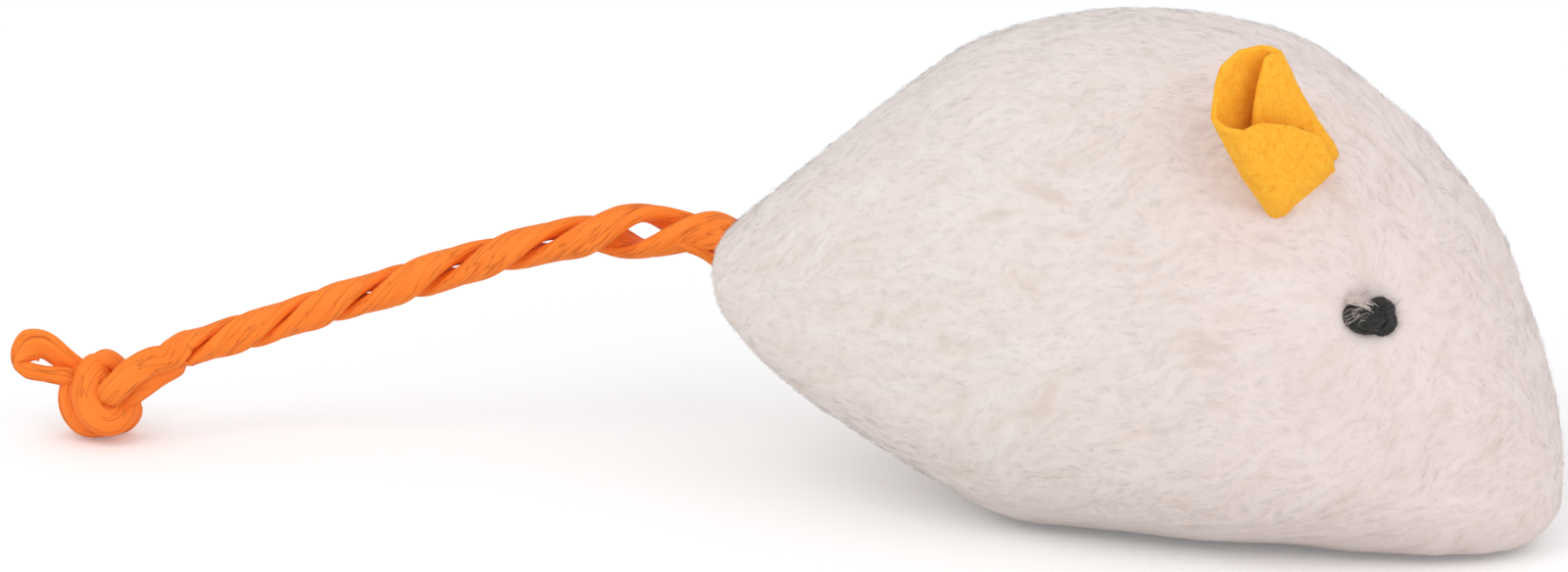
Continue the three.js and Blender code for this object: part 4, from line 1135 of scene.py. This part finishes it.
def thread_eye(side):
    """An eye of wound stitches heaped on its dimple, where the solid one is."""
    solid = frame["nodes"]["eye_" + side].data
    middle = sum((v.co for v in solid.vertices), Vector()) / len(solid.vertices)
    spot, out, _, _ = body_surface.find_nearest(middle)
    ahead = Vector((1, 0, 0))
    ahead = (ahead - out * ahead.dot(out)).normalized()
    upward = out.cross(ahead)
    if upward.z < 0:
        upward = -upward
    spot = spot + ahead * EYE_AHEAD + upward * EYE_RAISED
    chance = random.Random(EYE_SEED)

    def at(a, b, c):
        return spot + (ahead * a + upward * b + out * c) * MM

    heap = bmesh.new()
    for (a, b, c), (wide, tall, deep), (along, rising), strands in EYE_HEAPS:
        for number in range(strands):
            turn = math.atan2(rising, along) + chance.uniform(-0.55, 0.55)
            tip = math.pi * (number + 0.5) / strands + chance.uniform(-0.1, 0.1)
            across = (-math.sin(turn) * math.cos(tip), math.cos(turn) * math.cos(tip), math.sin(tip))
            size = chance.uniform(0.9, 1.03)
            points = []
            for step in range(15):
                angle = math.pi * (-0.15 + 1.3 * step / 14)
                x = math.cos(turn) * math.cos(angle) + across[0] * math.sin(angle)
                y = math.sin(turn) * math.cos(angle) + across[1] * math.sin(angle)
                z = across[2] * math.sin(angle)
                points.append(at(a + wide * size * x, b + tall * size * y, c + deep * size * z))
            spun_thread(heap, points, THREAD_WIDTH * chance.uniform(0.85, 1.1), number)
    for number in range(DARK_ENDS):
        a, b = chance.uniform(-1.5, 1.4), chance.uniform(0.1, 0.7)
        lean = chance.uniform(-0.9, 0.9)
        reach = chance.uniform(0.5, 1.1)
        points = [at(a + lean * t * t * reach, b + reach * t, 0.7 + 0.35 * math.sin(2.2 * t) * reach)
                  for t in (0, 0.3, 0.6, 1)]
        loose_fibre(heap, points, 10, DARK_END)
    eye = piece("thread_eye_" + side, heap, black_thread)

    tuft = bmesh.new()
    for number in range(WHITE_FIBRES_OVER):
        low = chance.uniform(0.2, 0.75)
        start = -1.75 + chance.uniform(-0.3, 0.3)
        reach = chance.uniform(0.8, 1.45)
        points = [at(start + reach * t, low - 0.25 * t + 0.12 * math.sin(5 * t + number),
                     0.75 + 0.6 * math.sin(1.9 * t)) for t in (0, 0.25, 0.5, 0.75, 1)]
        loose_fibre(tuft, points, 12, WHITE_FIBRE)
    for number in range(WHITE_FIBRES_OVER):
        a, b = -1.6 + chance.uniform(-0.3, 0.5), chance.uniform(-1.2, -0.4)
        points = [at(a + 0.55 * t + 0.1 * math.sin(4 * t + number), b + chance.uniform(0.4, 0.9) * t,
                     0.45 + 0.8 * math.sin(1.7 * t)) for t in (0, 0.33, 0.66, 1)]
        loose_fibre(tuft, points, 10, WHITE_FIBRE_UNDER)
    tuft = piece("eye_tuft_" + side, tuft, pale_pile)

    fuzz = fuzz_on("thread_fuzz_" + side, eye.data, normals_of(eye.data), black_thread,
                   EYE_FUZZ_THICKNESS, EYE_FUZZ)
    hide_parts("eye_" + side)
    for part in (eye, fuzz, tuft):
        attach(part, "body")


black_thread = thread_material("black_thread", (0.009, 0.009, 0.008), (0.04, 0.039, 0.036))
body_surface = surface_of(fine_mesh)
thread_eye("right")
thread_eye("left")


# The threads and the filling
# White thread closes the seams and gathers the base of each ear, and the body holds two wads of white
# fibre with the dried leaf between them. The tail's folded end is caught inside the rear of the body.
WAD_GRAIN = 0.8 * MM
WAD_DEPTH = 0.3 * MM


def leaf_material():
    """Crumbled dry leaf: flakes of several greens and browns."""
    material, tree, shader = new_material("crumbled_leaf", {"Roughness": 0.9})
    flakes = wired(tree, "ShaderNodeTexVoronoi", (("Vector", own_place(tree)), ("Scale", 900)))
    shade = wired(tree, "ShaderNodeSeparateColor", (("Color", flakes.outputs["Color"]),))
    tint = colour_steps(tree, shade.outputs["Red"], (
        (0.0, (0.12, 0.13, 0.035)), (0.45, (0.2, 0.23, 0.07)),
        (0.75, (0.3, 0.29, 0.1)), (1.0, (0.3, 0.2, 0.08))))
    tree.links.new(tint, shader.inputs["Base Color"])
    bumped(tree, shader, flakes.outputs["Distance"], 0.3 * MM)
    return material


def tucked_paper():
    """The same orange paper where it is folded away, with creases that follow its length and painted shade
    darkening them.
    """
    material, tree, shader = new_material("tucked_paper", {"Roughness": 0.62})
    stretch = wired(tree, "ShaderNodeMapping", (("Vector", own_place(tree)), ("Scale", (500, 2600, 2600))))
    creases = noise_on(tree, stretch.outputs["Vector"], 1, 5)
    # painted shade: the colour is darker where the creases sink
    tint = colour_steps(tree, creases, ((0.35, (0.6, 0.12, 0.015)), (0.65, (0.92, 0.26, 0.05))))
    tree.links.new(tint, shader.inputs["Base Color"])
    bumped(tree, shader, creases, 0.1 * MM)
    return material


white_thread = thread_material("white_thread", (0.78, 0.76, 0.72), (0.92, 0.91, 0.88))
for material, node_names in (
        (white_thread, ("back_seam_thread", "base_seam_thread_right", "base_seam_thread_left",
                        "ear_thread_right", "ear_thread_left")),
        (black_thread, ("eye_thread",)),
        (orange_felt, ("ear_root_right", "ear_root_left")),
        (tucked_paper(), ("tail_anchor",))):
    for node_name in node_names:
        for slot in frame["nodes"][node_name].material_slots:
            slot.material = material


def wad(name, node_name, material, lump_size, lump_depth):
    """A soft lumpy filling in the room that its solid holds."""
    rough = in_scene(name, frame["nodes"][node_name].data.copy())
    rough.data.materials.clear()
    rough.data.materials.append(material)
    shaped(rough, "REMESH", mode="VOXEL", voxel_size=WAD_GRAIN)
    shaped(rough, "SUBSURF", levels=1, render_levels=1)
    filled = settled(rough)
    lumps = np.array([0.5 + 0.5 * noise.noise(v.co / lump_size) for v in filled.vertices])
    depths = WAD_DEPTH + lump_depth * lumps
    filled.vertices.foreach_set("co", (places_of(filled) - normals_of(filled) * depths[:, None]).ravel())
    filled.polygons.foreach_set("use_smooth", [True] * len(filled.polygons))
    filled.update()
    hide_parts(node_name)
    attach(rough, "body")


# White polyester fibre, matted and a little shaded in its folds
fibre_wadding = speckled("fibre_wadding", {"Roughness": 0.95, "Sheen Weight": 0.3}, 700, 7, (
    (0.3, (0.7, 0.69, 0.66)), (0.65, (0.9, 0.9, 0.88))), 0.4 * MM, Distortion=1.6)
wad("wadding_front", "stuffing_front", fibre_wadding, 2.2 * MM, 0.5 * MM)
wad("wadding_rear", "stuffing_rear", fibre_wadding, 2.2 * MM, 0.5 * MM)
wad("leaf_crumbs", "catnip_fill", leaf_material(), 0.9 * MM, 0.35 * MM)
